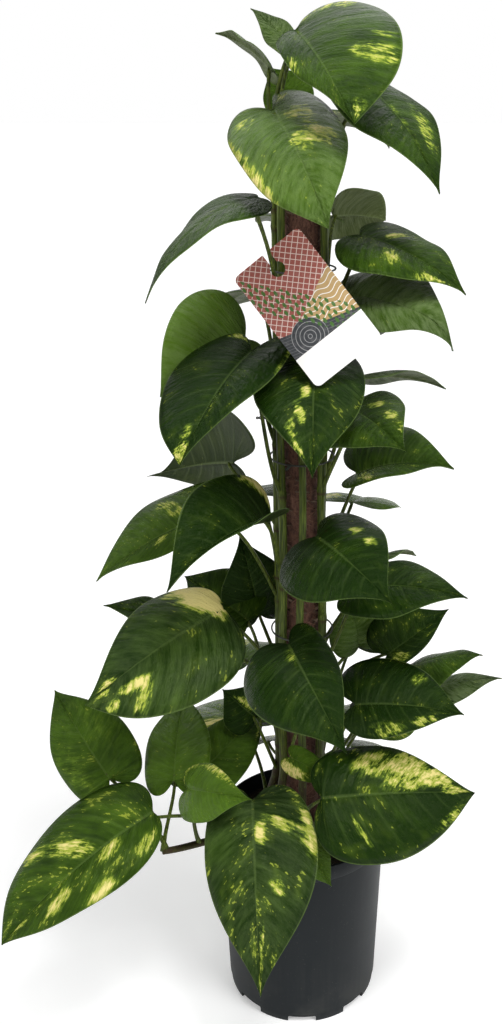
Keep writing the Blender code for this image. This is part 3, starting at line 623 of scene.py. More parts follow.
STEMS = (
    Stem("stem_front_left", -141, 872, (
        Leaf("L1", (-5, -22, 950), (37, -125, 886), (-95, 40), 90, 868, Tone.EVEN,
             ((-0.85, 0.2, 0.22, 0.13, 0.62), (-0.7, 0.08, 0.3, 0.05, 0.5),
              (-0.72, 0.64, 0.3, 0.05, 0.66), (-0.8, 0.54, 0.1, 0.02, 0.75),
              (0.85, 0.5, 0.2, 0.06, 0.5), (-0.6, 0.93, 0.3, 0.05, 0.5)),
             0.3, arch=30, skew=-0.48, lobe=(0.0, 1.4), full=(0.0, 0.7),
             route=((-27, 0, 895), (-15, 4, 928))),
        Leaf("L2", (-23, -45, 893), (19, -155, 818), (-85, 35), 92, 835, Tone.SHEEN,
             ((-0.5, 0.16, 0.25, 0.07, 0.65), (-0.35, 0.42, 0.25, 0.07, 0.72),
              (-0.5, 0.56, 0.3, 0.06, 0.9), (-0.15, 0.62, 0.2, 0.05, 0.75),
              (0.6, 0.34, 0.2, 0.06, 0.6), (1.0, 0.42, 0.12, 0.06, 0.9),
              (1.0, 0.57, 0.14, 0.13, 1.3)),
             0.5, fold=8, skew=-0.06, lobe=(0.8, 2.8), full=(0.6, 0.0)),
        Leaf("L4", (-33, -84, 832), (-112, -160, 767), (90, 80), 54, 718, Tone.DARK, (), 0.1,
             droop=58, fold=0, arch=20, twist=-40, lobe=(0.3, 0.3),
             route=((-22, -40, 744), (-17, -62, 774))),
        Leaf("L9", (-42, -38, 703), (-96, -129, 633), (-120, 40), 88, 565, Tone.DEEP,
             ((0.8, 0.14, 0.2, 0.08, 0.85), (-0.97, 0.3, 0.06, 0.12, 0.9),
              (0.5, 0.95, 0.6, 0.05, 0.9), (0.35, 0.86, 0.2, 0.05, 0.5)),
             0.3, fold=22, skew=0.12, lobe=(1.0, 1.7), full=(0.6, 0.0),
             route=((-34, -26, 600), (-33, -24, 660))),
        Leaf("L16", (-28, -48, 553), (-110, -140, 528), (-110, 62), 92, 475, Tone.DEEP,
             ((0.85, 0.2, 0.25, 0.12, 1.6),),
             0.3, droop=58, fold=46, arch=10, skew=0.1, lobe=(0.5, 0.0), full=(0.0, -0.6)),
        Leaf("L26", (-73, -24, 454), (-188, -123, 411), (-105, 38), 110, 370, Tone.SATIN,
             ((0.75, 0.22, 0.35, 0.14, 2.6), (0.35, 0.28, 0.45, 0.13, 2.8),
              (0.05, 0.22, 0.15, 0.12, 1.8), (-0.47, 0.78, 0.14, 0.07, 1.15),
              (0.3, 0.9, 0.3, 0.04, 0.9), (-0.3, 0.92, 0.15, 0.03, 0.9),
              (-0.8, 0.72, 0.2, 0.03, 0.8), (-0.8, 0.86, 0.15, 0.03, 0.9)),
             0.5, fold=10, skew=-0.12, lobe=(0.3, 0.0), full=(0.0, 0.8)),
    )),
    Stem("stem_front_right", -39, 858, (
        Leaf("L3", (51, 5, 910), (104, -86, 835), (-60, 50), 80, 850, Tone.DARK,
             ((-0.6, 0.64, 0.2, 0.16, 0.44), (-0.05, 0.7, 0.08, 0.2, 0.3)),
             0.1, skew=0.11),
        Leaf("L6", (48, -8, 794), (131, -64, 755), (-70, 62), 82, 715, Tone.DARK,
             ((-0.4, 0.48, 0.3, 0.03, 0.8), (0.45, 0.57, 0.25, 0.05, 0.7),
              (0.88, 0.78, 0.15, 0.1, 0.85)),
             0.4, skew=0.12, lobe=(0.5, 0.5), route=((32, -2, 742), (44, 6, 775))),
        Leaf("L7", (38, -18, 745), (128, -86, 724), (-75, 45), 84, 680, Tone.GREYED, (), 0.2,
             droop=45, skew=-0.2, lobe=(0.2, 1.6), full=(0.0, -0.4), hook=80),
        Leaf("L11", (42, -34, 651), (83, -112, 639), (-80, 25), 76, 570, Tone.DARK,
             ((-0.4, 0.48, 0.2, 0.05, 0.7), (-0.6, 0.66, 0.2, 0.06, 0.7),
              (-0.85, 0.78, 0.12, 0.05, 0.7)),
             0.4, skew=0.1, lobe=(0.6, 0.6)),
        Leaf("L17", (13, -55, 541), (72, -148, 522), (-85, 35), 102, 440, Tone.DEEP,
             ((-0.55, 0.46, 0.12, 0.04, 0.7), (-0.7, 0.58, 0.12, 0.04, 0.75)),
             0.2, fold=6, skew=0.08, lobe=(1.0, 1.5)),
        Leaf("L19", (50, -15, 472), (150, -50, 478), (-70, 65), 76, 385, Tone.DEEP, (), 0.3),
        Leaf("L23", (50, -48, 365), (150, -70, 368), (-80, 62), 92, 262, Tone.DEEP,
             ((0.8, 0.48, 0.2, 0.1, 0.52), (0.8, 0.72, 0.2, 0.08, 0.62), (-0.75, 0.66, 0.2, 0.04, 0.4)),
             0.3, fold=12, skew=-0.25, lobe=(0.8, 1.6)),
    )),
    Stem("stem_front", -92, 612, (
        Leaf("L10", (10, -40, 700), (8, -150, 630), (-90, 35), 94, 606, Tone.DEEP,
             ((0.15, 0.6, 0.1, 0.05, 0.6), (0.35, 0.7, 0.14, 0.06, 0.8),
              (0.7, 0.74, 0.14, 0.04, 0.8), (0.9, 0.84, 0.14, 0.05, 0.8)),
             0.3, fold=8, skew=0.08, route=((3, -42, 630), (4, -34, 672))),
        Leaf("L25", (-12, -68, 441), (37, -172, 395), (-95, 40), 90, 345, Tone.DEEP,
             ((0.05, 0.42, 0.08, 0.08, 0.4),),
             0.2, fold=6, skew=0.28, lobe=(1.0, 1.4)),
        Leaf("L36", (-11, -50, 308), (33, -66, 289), (-80, 40), 30, 338, Tone.MID,
             ((0.7, 0.35, 0.35, 0.22, 1.4), (0.0, 0.15, 0.3, 0.1, 0.9)), 0.5),
    )),
    Stem("stem_left", 165, 852, (
        Leaf("L0", (-24, 20, 921), (-72, 55, 950), (10, 40), 46, 846, Tone.GREYED, (), 0.2),
        Leaf("L1b", (-5, 2, 934), (-41, 20, 967), (-60, 30), 30, 815, Tone.GREYED, (), 0.2, droop=20,
             route=((-26, 24, 860), (-20, 26, 905))),
        Leaf("L8", (-50, 16, 701), (-120, -46, 665), (-60, 20), 100, 607, Tone.PALE, (), 0.1,
             skew=0.15, full=(0.4, 0.0), route=((-35, 10, 628), (-37, 16, 672))),
        Leaf("L14", (-62, 0, 590), (-150, 60, 555), (35, 20), 88, 525, Tone.DARK, (), 0.1,
             fold=20, skew=-0.3, lobe=(0.4, 3.6), full=(0.0, -0.8)),
        Leaf("L15", (-78, -25, 551), (-190, -25, 483), (-120, 60), 76, 450, Tone.MID,
             ((0.5, 0.5, 0.3, 0.05, 0.6), (-0.3, 0.6, 0.2, 0.04, 0.6)), 0.5, skew=0.38),
        Leaf("L27", (-116, -10, 428), (-185, -24, 458), (-110, 75), 52, 350, Tone.DARK,
             ((0.4, 0.6, 0.3, 0.06, 0.7),), 0.4, droop=12, arch=25),
        Leaf("L28", (-52, 8, 425), (-117, 48, 454), (-100, 50), 76, 330, Tone.DARK,
             (), 0.5, lobe=(0.5, 0.5)),
        Leaf("M1", (-42, 30, 420), (-60, 24, 508), (-80, 30), 72, 375, Tone.DEEP, (), 0.2),
        Leaf("M3", (-47, 4, 318), (-79, 2, 352), (-100, 35), 56, 256, Tone.DEEP,
             ((0.3, 0.6, 0.2, 0.2, 0.8),), 0.4, route=((-30, -6, 275), (-36, -10, 298))),
        Leaf("K2", (-40, 60, 735), (-85, 130, 695), (120, 50), 85, 665, Tone.MID,
             ((0.6, 0.4, 0.3, 0.06, 0.9),), 0.4),
        Leaf("K5", (-38, 60, 535), (-60, 150, 500), (105, 50), 85, 475, Tone.DARK,
             ((-0.5, 0.5, 0.3, 0.06, 0.9),), 0.3),
        Leaf("K8", (-55, 62, 350), (-110, 135, 325), (125, 50), 90, 290, Tone.MID,
             ((0.5, 0.6, 0.35, 0.07, 0.9), (-0.8, 0.3, 0.2, 0.06, 0.8)), 0.5),
        Leaf("K11", (-60, 75, 262), (-125, 160, 232), (125, 50), 95, 215, Tone.MID,
             ((-0.6, 0.45, 0.35, 0.08, 1.0),), 0.6),
        Leaf("K15", (-8, 46, 892), (-26, 58, 923), (-90, 20), 44, 800, Tone.MID,
             ((0.4, 0.3, 0.3, 0.05, 0.8),), 0.3),
    )),
    Stem("stem_right", 35, 846, (
        Leaf("L5", (27, 55, 802), (76, 80, 795), (90, 30), 62, 725, Tone.OLIVE, (), 0.1, full=(0.7, 0.7)),
        Leaf("L13", (43, 20, 662), (135, 56, 644), (60, 53), 60, 570, Tone.GREYED, (), 0.1),
        Leaf("L12", (50, 5, 578), (137, -10, 588), (-80, 74), 84, 490, Tone.DARK,
             ((0.6, 0.4, 0.3, 0.05, 0.7),), 0.4, droop=48, fold=28, skew=-0.25),
        Leaf("L18", (69, 24, 483), (114, 58, 472), (80, 50), 45, 395, Tone.GREYED, (), 0.1),
        Leaf("L20", (84, 14, 384), (143, 12, 436), (-60, 40), 54, 335, Tone.DEEP,
             ((0.5, 0.4, 0.3, 0.06, 0.7),), 0.5, skew=-0.35),
        Leaf("M2", (58, 38, 380), (44, 38, 438), (-80, 35), 60, 345, Tone.OLIVE, (), 0.2),
        Leaf("L21", (112, 25, 365), (178, 10, 386), (-90, 80), 55, 280, Tone.DARK,
             (), 0.3, fold=-5, arch=50),
        Leaf("L22", (105, 35, 322), (203, 30, 348), (-90, 80), 56, 250, Tone.GREYED, (), 0.2, fold=-5),
        Leaf("L24", (58, -4, 328), (150, -18, 350), (-80, 70), 56, 240, Tone.DEEP, (), 0.3),
        Leaf("K3", (34, 68, 705), (58, 145, 660), (75, 50), 80, 640, Tone.DARK,
             ((0.5, 0.5, 0.3, 0.05, 0.9),), 0.4),
        Leaf("K6", (48, 60, 528), (75, 140, 492), (70, 50), 85, 460, Tone.MID,
             ((-0.6, 0.4, 0.3, 0.08, 0.9),), 0.3),
        Leaf("K9", (52, 72, 368), (105, 145, 335), (55, 50), 85, 265, Tone.DARK,
             ((0.3, 0.6, 0.3, 0.06, 0.8),), 0.5),
        Leaf("K12", (62, 78, 262), (125, 160, 232), (55, 50), 95, 218, Tone.MID,
             ((0.6, 0.4, 0.35, 0.1, 1.0), (-0.5, 0.7, 0.3, 0.05, 0.8)), 0.6),
        Leaf("K16", (38, 42, 888), (80, 115, 855), (60, 50), 78, 815, Tone.MID,
             ((-0.5, 0.4, 0.3, 0.06, 0.8),), 0.3),
    )),
    Stem("stem_back", 97, 800, (
        Leaf("K1", (-2, 68, 800), (-6, 160, 768), (90, 50), 85, 740, Tone.DARK,
             ((0.5, 0.4, 0.3, 0.06, 0.9),), 0.4),
        Leaf("K4", (0, 66, 622), (-4, 160, 588), (90, 50), 82, 560, Tone.MID,
             ((-0.5, 0.5, 0.3, 0.07, 0.9),), 0.3),
        Leaf("K7", (2, 66, 440), (6, 165, 402), (90, 50), 90, 375, Tone.DARK,
             ((0.4, 0.6, 0.35, 0.06, 0.9), (-0.7, 0.3, 0.2, 0.08, 0.8)), 0.5),
        Leaf("K10", (0, 78, 300), (8, 185, 262), (90, 50), 95, 232, Tone.MID,
             ((-0.5, 0.4, 0.35, 0.1, 1.0),), 0.5),
        Leaf("K13", (-36, 92, 232), (-66, 176, 160), (100, 40), 80, 205, Tone.DARK,
             ((0.5, 0.5, 0.3, 0.08, 0.9),), 0.6),
        Leaf("K14", (40, 92, 230), (82, 172, 158), (70, 40), 80, 210, Tone.MID,
             ((-0.4, 0.5, 0.3, 0.06, 0.9),), 0.5),
    )),
    Stem("stem_trailing", 0, 1, (
        Leaf("L29", (-186, -52, 284), (-252, 29, 335), (-110, 50), 80, 0.96, Tone.MID,
             ((-0.6, 0.45, 0.4, 0.2, 0.22), (0.6, 0.6, 0.4, 0.2, 0.18)), 0.4),
        Leaf("L30", (-123, -60, 288), (-122, 52, 315), (-100, 50), 66, 1.0, Tone.MID, (), 0.2),
        Leaf("L31", (-107, -45, 275), (-37, 48, 302), (-80, 50), 62, 0.5, Tone.MID,
             ((0.9, 0.8, 0.15, 0.1, 0.5), (-0.1, 0.76, 0.3, 0.06, 0.4)),
             0.2),
        Leaf("L32", (-108, -80, 293), (-45, -130, 318), (-90, 40), 56, 0.7, Tone.FRESH,
             ((-0.9, 0.2, 0.18, 0.2, 0.65), (-0.9, 0.6, 0.18, 0.2, 0.65)),
             0.2),
        Leaf("L33", (-139, -95, 278), (-272, -166, 186), (-125, 55), 104, 0.45, Tone.EVEN,
             ((-0.85, 0.48, 0.15, 0.05, 1.3), (0.85, 0.62, 0.15, 0.04, 0.9),
              (0.35, 0.6, 0.3, 0.04, 1.0), (-0.55, 0.7, 0.25, 0.05, 0.95),
              (-0.2, 0.52, 0.2, 0.05, 0.8), (-0.6, 0.32, 0.2, 0.06, 0.7),
              (-0.35, 0.9, 0.2, 0.04, 0.8)),
             0.9, skew=0.2, lobe=(0.4, 0.1), full=(0.5, 0.4)),
    ), ((-48, -36, 192), (-52, -40, 226), (-96, -77, 224), (-133, -90, 229))),
    Stem("stem_low", 0, 1, (
        Leaf("L34", (-46, -98, 294), (-36, -215, 174), (-90, 40), 106, 0.9, Tone.SATIN,
             ((-0.1, 0.46, 0.08, 0.05, 1.4), (-0.87, 0.37, 0.14, 0.07, 1.15),
              (-0.4, 0.39, 0.25, 0.03, 0.85), (-0.45, 0.62, 0.15, 0.03, 0.8),
              (-0.2, 0.86, 0.1, 0.08, 0.8), (0.0, 0.97, 0.5, 0.03, 0.8)),
             1.0, fold=6, skew=-0.12, lobe=(0.7, 0.7)),
        Leaf("L35", (18, -92, 292), (167, -60, 274), (-85, 48), 114, 1.0, Tone.DEEP,
             ((-0.6, 0.5, 0.25, 0.08, 0.85), (-0.7, 0.64, 0.3, 0.1, 1.05),
              (-0.65, 0.78, 0.35, 0.08, 1.1), (-0.3, 0.9, 0.4, 0.06, 1.0), (-0.35, 0.68, 0.3, 0.1, 0.8),
              (0.5, 0.43, 0.2, 0.015, 0.9), (0.92, 0.8, 0.08, 0.12, 0.7)),
             0.6, fold=6, skew=0.12, lobe=(0.5, 0.5), full=(0.3, 0.0)),
        Leaf("L37", (-2, -92, 250), (28, -105, 200), (-80, 30), 35, 0.6, Tone.MID, (), 0.3),
    ), ((22, -52, 192), (22, -52, 225), (10, -75, 245), (0, -80, 262))),
)


# Shapes


def unit(azimuth: float, elevation: float) -> Vector:
    """Return the direction at these degrees from +X and above the ground."""
    a, e = math.radians(azimuth), math.radians(elevation)
    return Vector((math.cos(a) * math.cos(e), math.sin(a) * math.cos(e), math.sin(e)))


def smoothstep(low: float, high: float, value: float) -> float:
    """Return the smooth step of the value from 0 at low to 1 at high."""
    t = min(max((value - low) / (high - low), 0.0), 1.0)
    return t * t * (3.0 - 2.0 * t)


def bell(gap: float, reach: float) -> float:
    """Return a bell curve, 1 at no gap and low past its reach."""
    return math.exp(-((gap / reach) ** 2))


def between(first: float, last: float, share: float) -> float:
    """Return the number at this share of the way from the first to the last."""
    return first + (last - first) * share


def bezier(points: Iterable[Sequence[float]], t: float) -> Vector:
    """Follow a Bezier curve of any degree.

    Args:
        points: Its control points.
        t: From 0 at its start to 1 at its end.

    Returns:
        The point at t.
    """
    points = [Vector(p) for p in points]
    while len(points) > 1:
        points = [a.lerp(b, t) for a, b in zip(points, points[1:])]
    return points[0]


def sweep(
    bm: bmesh.types.BMesh, path: Sequence[Vector], radii: Sequence[float], sides: int
) -> list[list[bmesh.types.BMVert]]:
    """Extrude a ring along a path and close its ends.

    Args:
        bm: The mesh that takes the tube.
        path: Points of its middle line, in millimetres.
        radii: Its radius at each point, in millimetres.
        sides: Points of each ring.

    Returns:
        The ring of vertices at each point of the path.
    """
    ways = [(b - a).normalized() for a, b in zip(path, path[1:])]
    ways.append(ways[-1])
    turn = Vector((0.0, 0.0, 1.0)).rotation_difference(ways[0])
    pose = Matrix.Translation(path[0] * MM) @ turn.to_matrix().to_4x4()
    made = bmesh.ops.create_circle(bm, cap_ends=False, segments=sides, radius=radii[0] * MM, matrix=pose)
    ring = made["verts"]
    rings = [ring]
    first = edges = list({edge for vert in ring for edge in vert.link_edges})
    last_way, last_pose, last_radius = ways[0], pose, radii[0]
    for point, way, radius in list(zip(path, ways, radii))[1:]:
        turn = last_way.rotation_difference(way) @ turn
        pose = Matrix.Translation(point * MM) @ turn.to_matrix().to_4x4()
        grown = bmesh.ops.extrude_edge_only(bm, edges=edges)["geom"]
        ring = [item for item in grown if isinstance(item, bmesh.types.BMVert)]
        members = set(ring)
        edges = [e for e in grown if isinstance(e, bmesh.types.BMEdge) and set(e.verts) <= members]
        change = pose @ Matrix.Scale(radius / last_radius, 4) @ last_pose.inverted()
        bmesh.ops.transform(bm, matrix=change, verts=ring)
        rings.append(ring)
        last_way, last_pose, last_radius = way, pose, radius
    for end in (first, edges):
        bmesh.ops.edgeloop_fill(bm, edges=end)
    return rings


def revolve(bm: bmesh.types.BMesh, geom: Sequence[Any], steps: int) -> None:
    """Spin vertices and edges all the way round Z and weld the seam.

    Args:
        bm: Their mesh.
        geom: The vertices and edges.
        steps: How many stretches the circle has.
    """
    bmesh.ops.spin(bm, geom=geom, angle=math.tau, steps=steps, axis=(0.0, 0.0, 1.0), use_merge=True)
    bmesh.ops.remove_doubles(bm, verts=bm.verts, dist=0.002 * MM)


def turned(bm: bmesh.types.BMesh, profile: Sequence[tuple[float, float]], steps: int) -> None:
    """Turn a profile round Z.

    Args:
        bm: The mesh that takes it.
        profile: Its (radius, height) points in millimetres.
        steps: How many stretches the circle has.
    """
    verts = [bm.verts.new((radius * MM, 0.0, height * MM)) for radius, height in profile]
    revolve(bm, verts + [bm.edges.new(pair) for pair in zip(verts, verts[1:])], steps)
    bmesh.ops.recalc_face_normals(bm, faces=bm.faces)


def block(bm: bmesh.types.BMesh, size: Point, pose: Matrix) -> None:
    """Add a block of this size in millimetres at a pose in metres."""
    bmesh.ops.create_cube(bm, size=1.0, matrix=pose @ Matrix.Diagonal((*(Vector(size) * MM), 1.0)))


def post(bm: bmesh.types.BMesh, radius: float, depth: float, sides: int, pose: Matrix) -> None:
    """Add an upright round post of this size in millimetres at a pose in metres."""
    wide = radius * MM
    bmesh.ops.create_cone(
        bm, cap_ends=True, segments=sides, radius1=wide, radius2=wide, depth=depth * MM, matrix=pose
    )


def ease(bm: bmesh.types.BMesh, edges: Sequence[bmesh.types.BMEdge], reach: float, steps: int) -> None:
    """Round edges off by this reach in millimetres."""
    bmesh.ops.bevel(
        bm, geom=edges, offset=reach * MM, affect="EDGES", segments=steps, profile=0.5, material=-1
    )


def placed(name: str, bm: bmesh.types.BMesh) -> bpy.types.Object:
    """Put a mesh into the scene as an object of the same name.

    Args:
        name: Their name.
        bm: The mesh, in metres, which is freed.

    Returns:
        The new object.
    """
    mesh = bpy.data.meshes.new(name)
    bm.to_mesh(mesh)
    bm.free()
    thing = bpy.data.objects.new(name, mesh)
    bpy.context.scene.collection.objects.link(thing)
    return thing


def finish_piece(
    name: str,
    bm: bmesh.types.BMesh,
    materials: Sequence[bpy.types.Material],
    stands_for: Sequence[str] = (),
    smooth: bool = True,
) -> bpy.types.Object:
    """Turn a mesh into a piece of the model.

    Args:
        name: The piece's name.
        bm: Its mesh, in metres in the model's frame, which is freed.
        materials: Its finishes.
        stands_for: The solids that it stands for.
        smooth: Whether its faces are shaded smooth.

    Returns:
        The new object.
    """
    for face in bm.faces:
        face.smooth = smooth
    piece = placed(name, bm)
    for material in materials:
        piece.data.materials.append(material)
    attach(piece, BODY)
    if stands_for:
        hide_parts(*stands_for)
    LOG.info("%s: %d faces", name, len(piece.data.polygons))
    return piece


def applied(piece: bpy.types.Object) -> None:
    """Apply the piece's modifiers to its mesh.

    Args:
        piece: The piece, which keeps its mesh's name.
    """
    bpy.context.view_layer.update()
    graph = bpy.context.evaluated_depsgraph_get()
    mesh = bpy.data.meshes.new_from_object(piece.evaluated_get(graph))
    name = piece.data.name
    piece.modifiers.clear()
    piece.data = mesh
    mesh.name = name


def cut(piece: bpy.types.Object, bm: bmesh.types.BMesh) -> None:
    """Cut a mesh from a piece.

    Args:
        piece: The piece.
        bm: The mesh, in metres, which is freed.
    """
    cutter = placed("cutter", bm)
    boolean = piece.modifiers.new("Cut", "BOOLEAN")
    boolean.operation = "DIFFERENCE"
    boolean.solver = "EXACT"
    boolean.object = cutter
    applied(piece)
    bpy.data.objects.remove(cutter)


@dataclass
class Blade:
    """One heart-shaped blade with a sunk midrib, bulges between its side veins and a rib under it."""

    leaf: Leaf
    columns: int = 20
    rows: int = 56
    crowding: float = 1.3
    weld: float = 0.06
    thickness: float = 0.5
    lobe_share: float = 0.4
    lobe_veins: float = 0.3
    hook_start: float = 0.68
    wave_turns: float = 15.0
    bulge: float = 0.4
    groove: float = 0.7
    groove_reach: float = 2.2
    large_half: float = 40.0
    rib: float = 0.9
    rib_reach: float = 1.9
    rib_taper: float = 0.7
    rib_least: float = 0.02

    def frame(self) -> Matrix:
        """Find the blade's axes.

        Returns:
            Across, from base to tip, and the way its upper side looks, with the base as origin.
        """
        base, tip = Vector(self.leaf.base), Vector(self.leaf.tip)
        forward = (tip - base).normalized()
        face = unit(*self.leaf.face)
        up = (face - forward * face.dot(forward)).normalized()
        matrix = Matrix((forward.cross(up), forward, up)).transposed().to_4x4()
        matrix.translation = base
        return matrix

    def half_outline(self, t: float, lobe: float, full: float) -> Vector:
        """Give the margin of half a blade of length 1 and half width 1.

        Args:
            t: From 0 at the base, round the lobe, to 1 at the tip.
            lobe: How far the half reaches back past the base.
            full: How close to the tip it keeps its width.

        Returns:
            The point, across and along.
        """
        widest = (1.0, 0.34 - 0.1 * lobe, 0.0)
        if t < self.lobe_share:
            heel = ((0.03, 0.0, 0.0), (0.3, -0.21 * lobe, 0.0), (1.0, -0.17 * lobe, 0.0))
            return bezier((*heel, widest), t / self.lobe_share)
        shoulder = (1.0, 0.62 + 0.24 * full, 0.0)
        taper = (0.16 + 0.42 * full, 0.8 + 0.14 * full, 0.0)
        share = (t - self.lobe_share) / (1.0 - self.lobe_share)
        return bezier((widest, shoulder, taper, (0.0, 1.0, 0.0)), share)

    def relief(self, side: float, u: float, v: float, half: float) -> float:
        """Give the fine height of the skin over the blade's plain form, in millimetres.

        Args:
            side: 1.0 or -1.0.
            u: From 0 at the midrib to 1 at the margin.
            v: From 0 at the base to 1 at the tip, along the veins' feet.
            half: The half's width in millimetres.

        Returns:
            The height.
        """
        shift = VEIN_SHIFT if side > 0.0 else 0.0
        swell = abs(math.sin(math.pi * ((v + shift) * VEIN_COUNT + 0.5))) ** 0.7
        inner = smoothstep(0.03, 0.2, u) * (1.0 - smoothstep(0.75, 1.0, u))
        scale = min(1.0, half / self.large_half)
        groove = self.groove * scale * bell(u * half, self.groove_reach)
        return self.bulge * scale * (swell - 0.5) * inner - groove

    def point(self, side: float, u: float, v: float, fine: bool = False) -> Vector:
        """Give a point of the blade in its own axes.

        Args:
            side: 1.0 for the half on the first axis, or -1.0.
            u: Along a vein, from 0 at the midrib to 1 at the margin.
            v: From 0 at the base to 1 at the tip, along the veins' feet.
            fine: Whether to add the skin's relief.

        Returns:
            The point in millimetres.
        """
        leaf = self.leaf
        length = (Vector(leaf.tip) - Vector(leaf.base)).length
        bend = math.radians(leaf.droop)
        length *= (bend / 2.0) / math.sin(bend / 2.0)
        half = leaf.width / 2.0 * (1.0 + leaf.skew * side)
        root = max(0.0, (v - self.lobe_veins) / (1.0 - self.lobe_veins)) ** 1.2
        index = 0 if side > 0.0 else 1
        edge = self.half_outline(v, leaf.lobe[index], leaf.full[index])
        pull = Vector((edge.x * 0.55, root + (edge.y - root) * 0.3, 0.0))
        flat = bezier(((0.0, root, 0.0), pull, edge), u)
        slope = math.radians(leaf.fold) - math.radians(leaf.arch) * (flat.x * 0.5)
        x, z = flat.x * half * math.cos(slope), flat.x * half * math.sin(slope)
        z += leaf.wave * flat.x**2 * math.sin(v * self.wave_turns + side * 1.3 + leaf.node)
        if fine:
            z += self.relief(side, u, v, half)
        twist = math.radians(leaf.twist) * (flat.y - 0.5) * side
        x, z = x * math.cos(twist) - z * math.sin(twist) * side, z * math.cos(twist) + x * math.sin(twist)
        arc = length / bend

        def spine(lean: float) -> Vector:
            """Return the midrib's point where it leans this much."""
            along = math.sin(bend / 2.0) - math.sin(lean)
            return Vector((0.0, arc * along, arc * (math.cos(lean) - math.cos(bend / 2.0))))

        lean = bend * (0.5 - flat.y)
        middle = spine(lean)
        past = flat.y - self.hook_start
        if leaf.hook and past > 0.0:
            turn = math.radians(leaf.hook) * past / (1.0 - self.hook_start)
            slant = bend * (0.5 - self.hook_start)
            way = Vector((0.0, math.cos(slant - turn * 0.5), math.sin(slant - turn * 0.5)))
            middle = spine(slant) + way * length * past
            lean -= turn
        return middle + Vector((x * side, -z * math.sin(lean), z * math.cos(lean)))

    def gold_at(self, s: float, v: float) -> float:
        """Find how strongly the gold spots cover a place.

        Args:
            s: Across, from -1 to 1.
            v: From 0 at the base to 1 at the tip.

        Returns:
            The strongest spot's cover.
        """
        cover = 0.0
        for across, along, wide, tall, strength in self.leaf.gold:
            gap = math.hypot((s - across) / wide, (v - along) / tall)
            cover = max(cover, strength * (1.0 - smoothstep(0.45, 1.5, gap)))
        return cover

    def build(self, materials: Sequence[bpy.types.Material], stem: Stem) -> None:
        """Build the blade.

        Args:
            materials: The finishes of its upper and under side.
            stem: The stem that carries it.
        """
        bm = bmesh.new()
        veins = bm.loops.layers.uv.new("veins")
        layers = [bm.verts.layers.float.new(name) for name in BLADE_LAYERS]
        bmesh.ops.create_grid(bm, x_segments=self.columns, y_segments=self.rows, size=1.0)
        for vert in bm.verts:
            vert.co.x = math.copysign(abs(vert.co.x) ** self.crowding, vert.co.x)
        for face in bm.faces:
            for loop in face.loops:
                loop[veins].uv = ((loop.vert.co.x + 1.0) / 2.0, (loop.vert.co.y + 1.0) / 2.0)
        frame = self.frame()
        seed = sum(map(ord, self.leaf.name)) * 0.137 % 1.0
        # The tone's second number is the amount of painted sheen for this blade.
        tone, grey = self.leaf.tone.value
        tone += 0.2 * (seed - 0.5)
        for vert in bm.verts:
            s, v = vert.co.x, (vert.co.y + 1.0) / 2.0
            for layer, value in zip(layers, (self.gold_at(s, v), tone, grey, self.leaf.fleck, seed)):
                vert[layer] = value
            vert.co = frame @ self.point(1.0 if s > 0.0 else -1.0, abs(s), v, True) * MM
        bmesh.ops.remove_doubles(bm, verts=bm.verts, dist=self.weld * MM)
        piece = finish_piece("blade_" + self.leaf.name, bm, materials, (stem.name,))
        shell = piece.modifiers.new("Thickness", "SOLIDIFY")
        shell.thickness = self.thickness * MM
        shell.offset = 0.0
        shell.material_offset = 1
        applied(piece)
        self.raise_rib(piece)

    def raise_rib(self, piece: bpy.types.Object) -> None:
        """Push the under side out along the midrib.

        Args:
            piece: The blade, already a closed shell whose under side has the second finish.
        """
        bm = bmesh.new()
        bm.from_mesh(piece.data)
        veins = bm.loops.layers.uv["veins"]
        moves = {}
        for face in bm.faces:
            face.smooth = True
            if face.material_index != 1:
                continue
            for loop in face.loops:
                place = loop[veins].uv
                gap = abs(place.x * 2.0 - 1.0) * self.leaf.width / 2.0
                taper = 1.0 - self.rib_taper * place.y
                moves[loop.vert] = (self.rib + self.groove) * taper * bell(gap, self.rib_reach)
        bm.normal_update()
        shifts = {vert: vert.normal * reach * MM for vert, reach in moves.items() if reach > self.rib_least}
        for vert, shift in shifts.items():
            vert.co += shift
        bm.to_mesh(piece.data)
        bm.free()


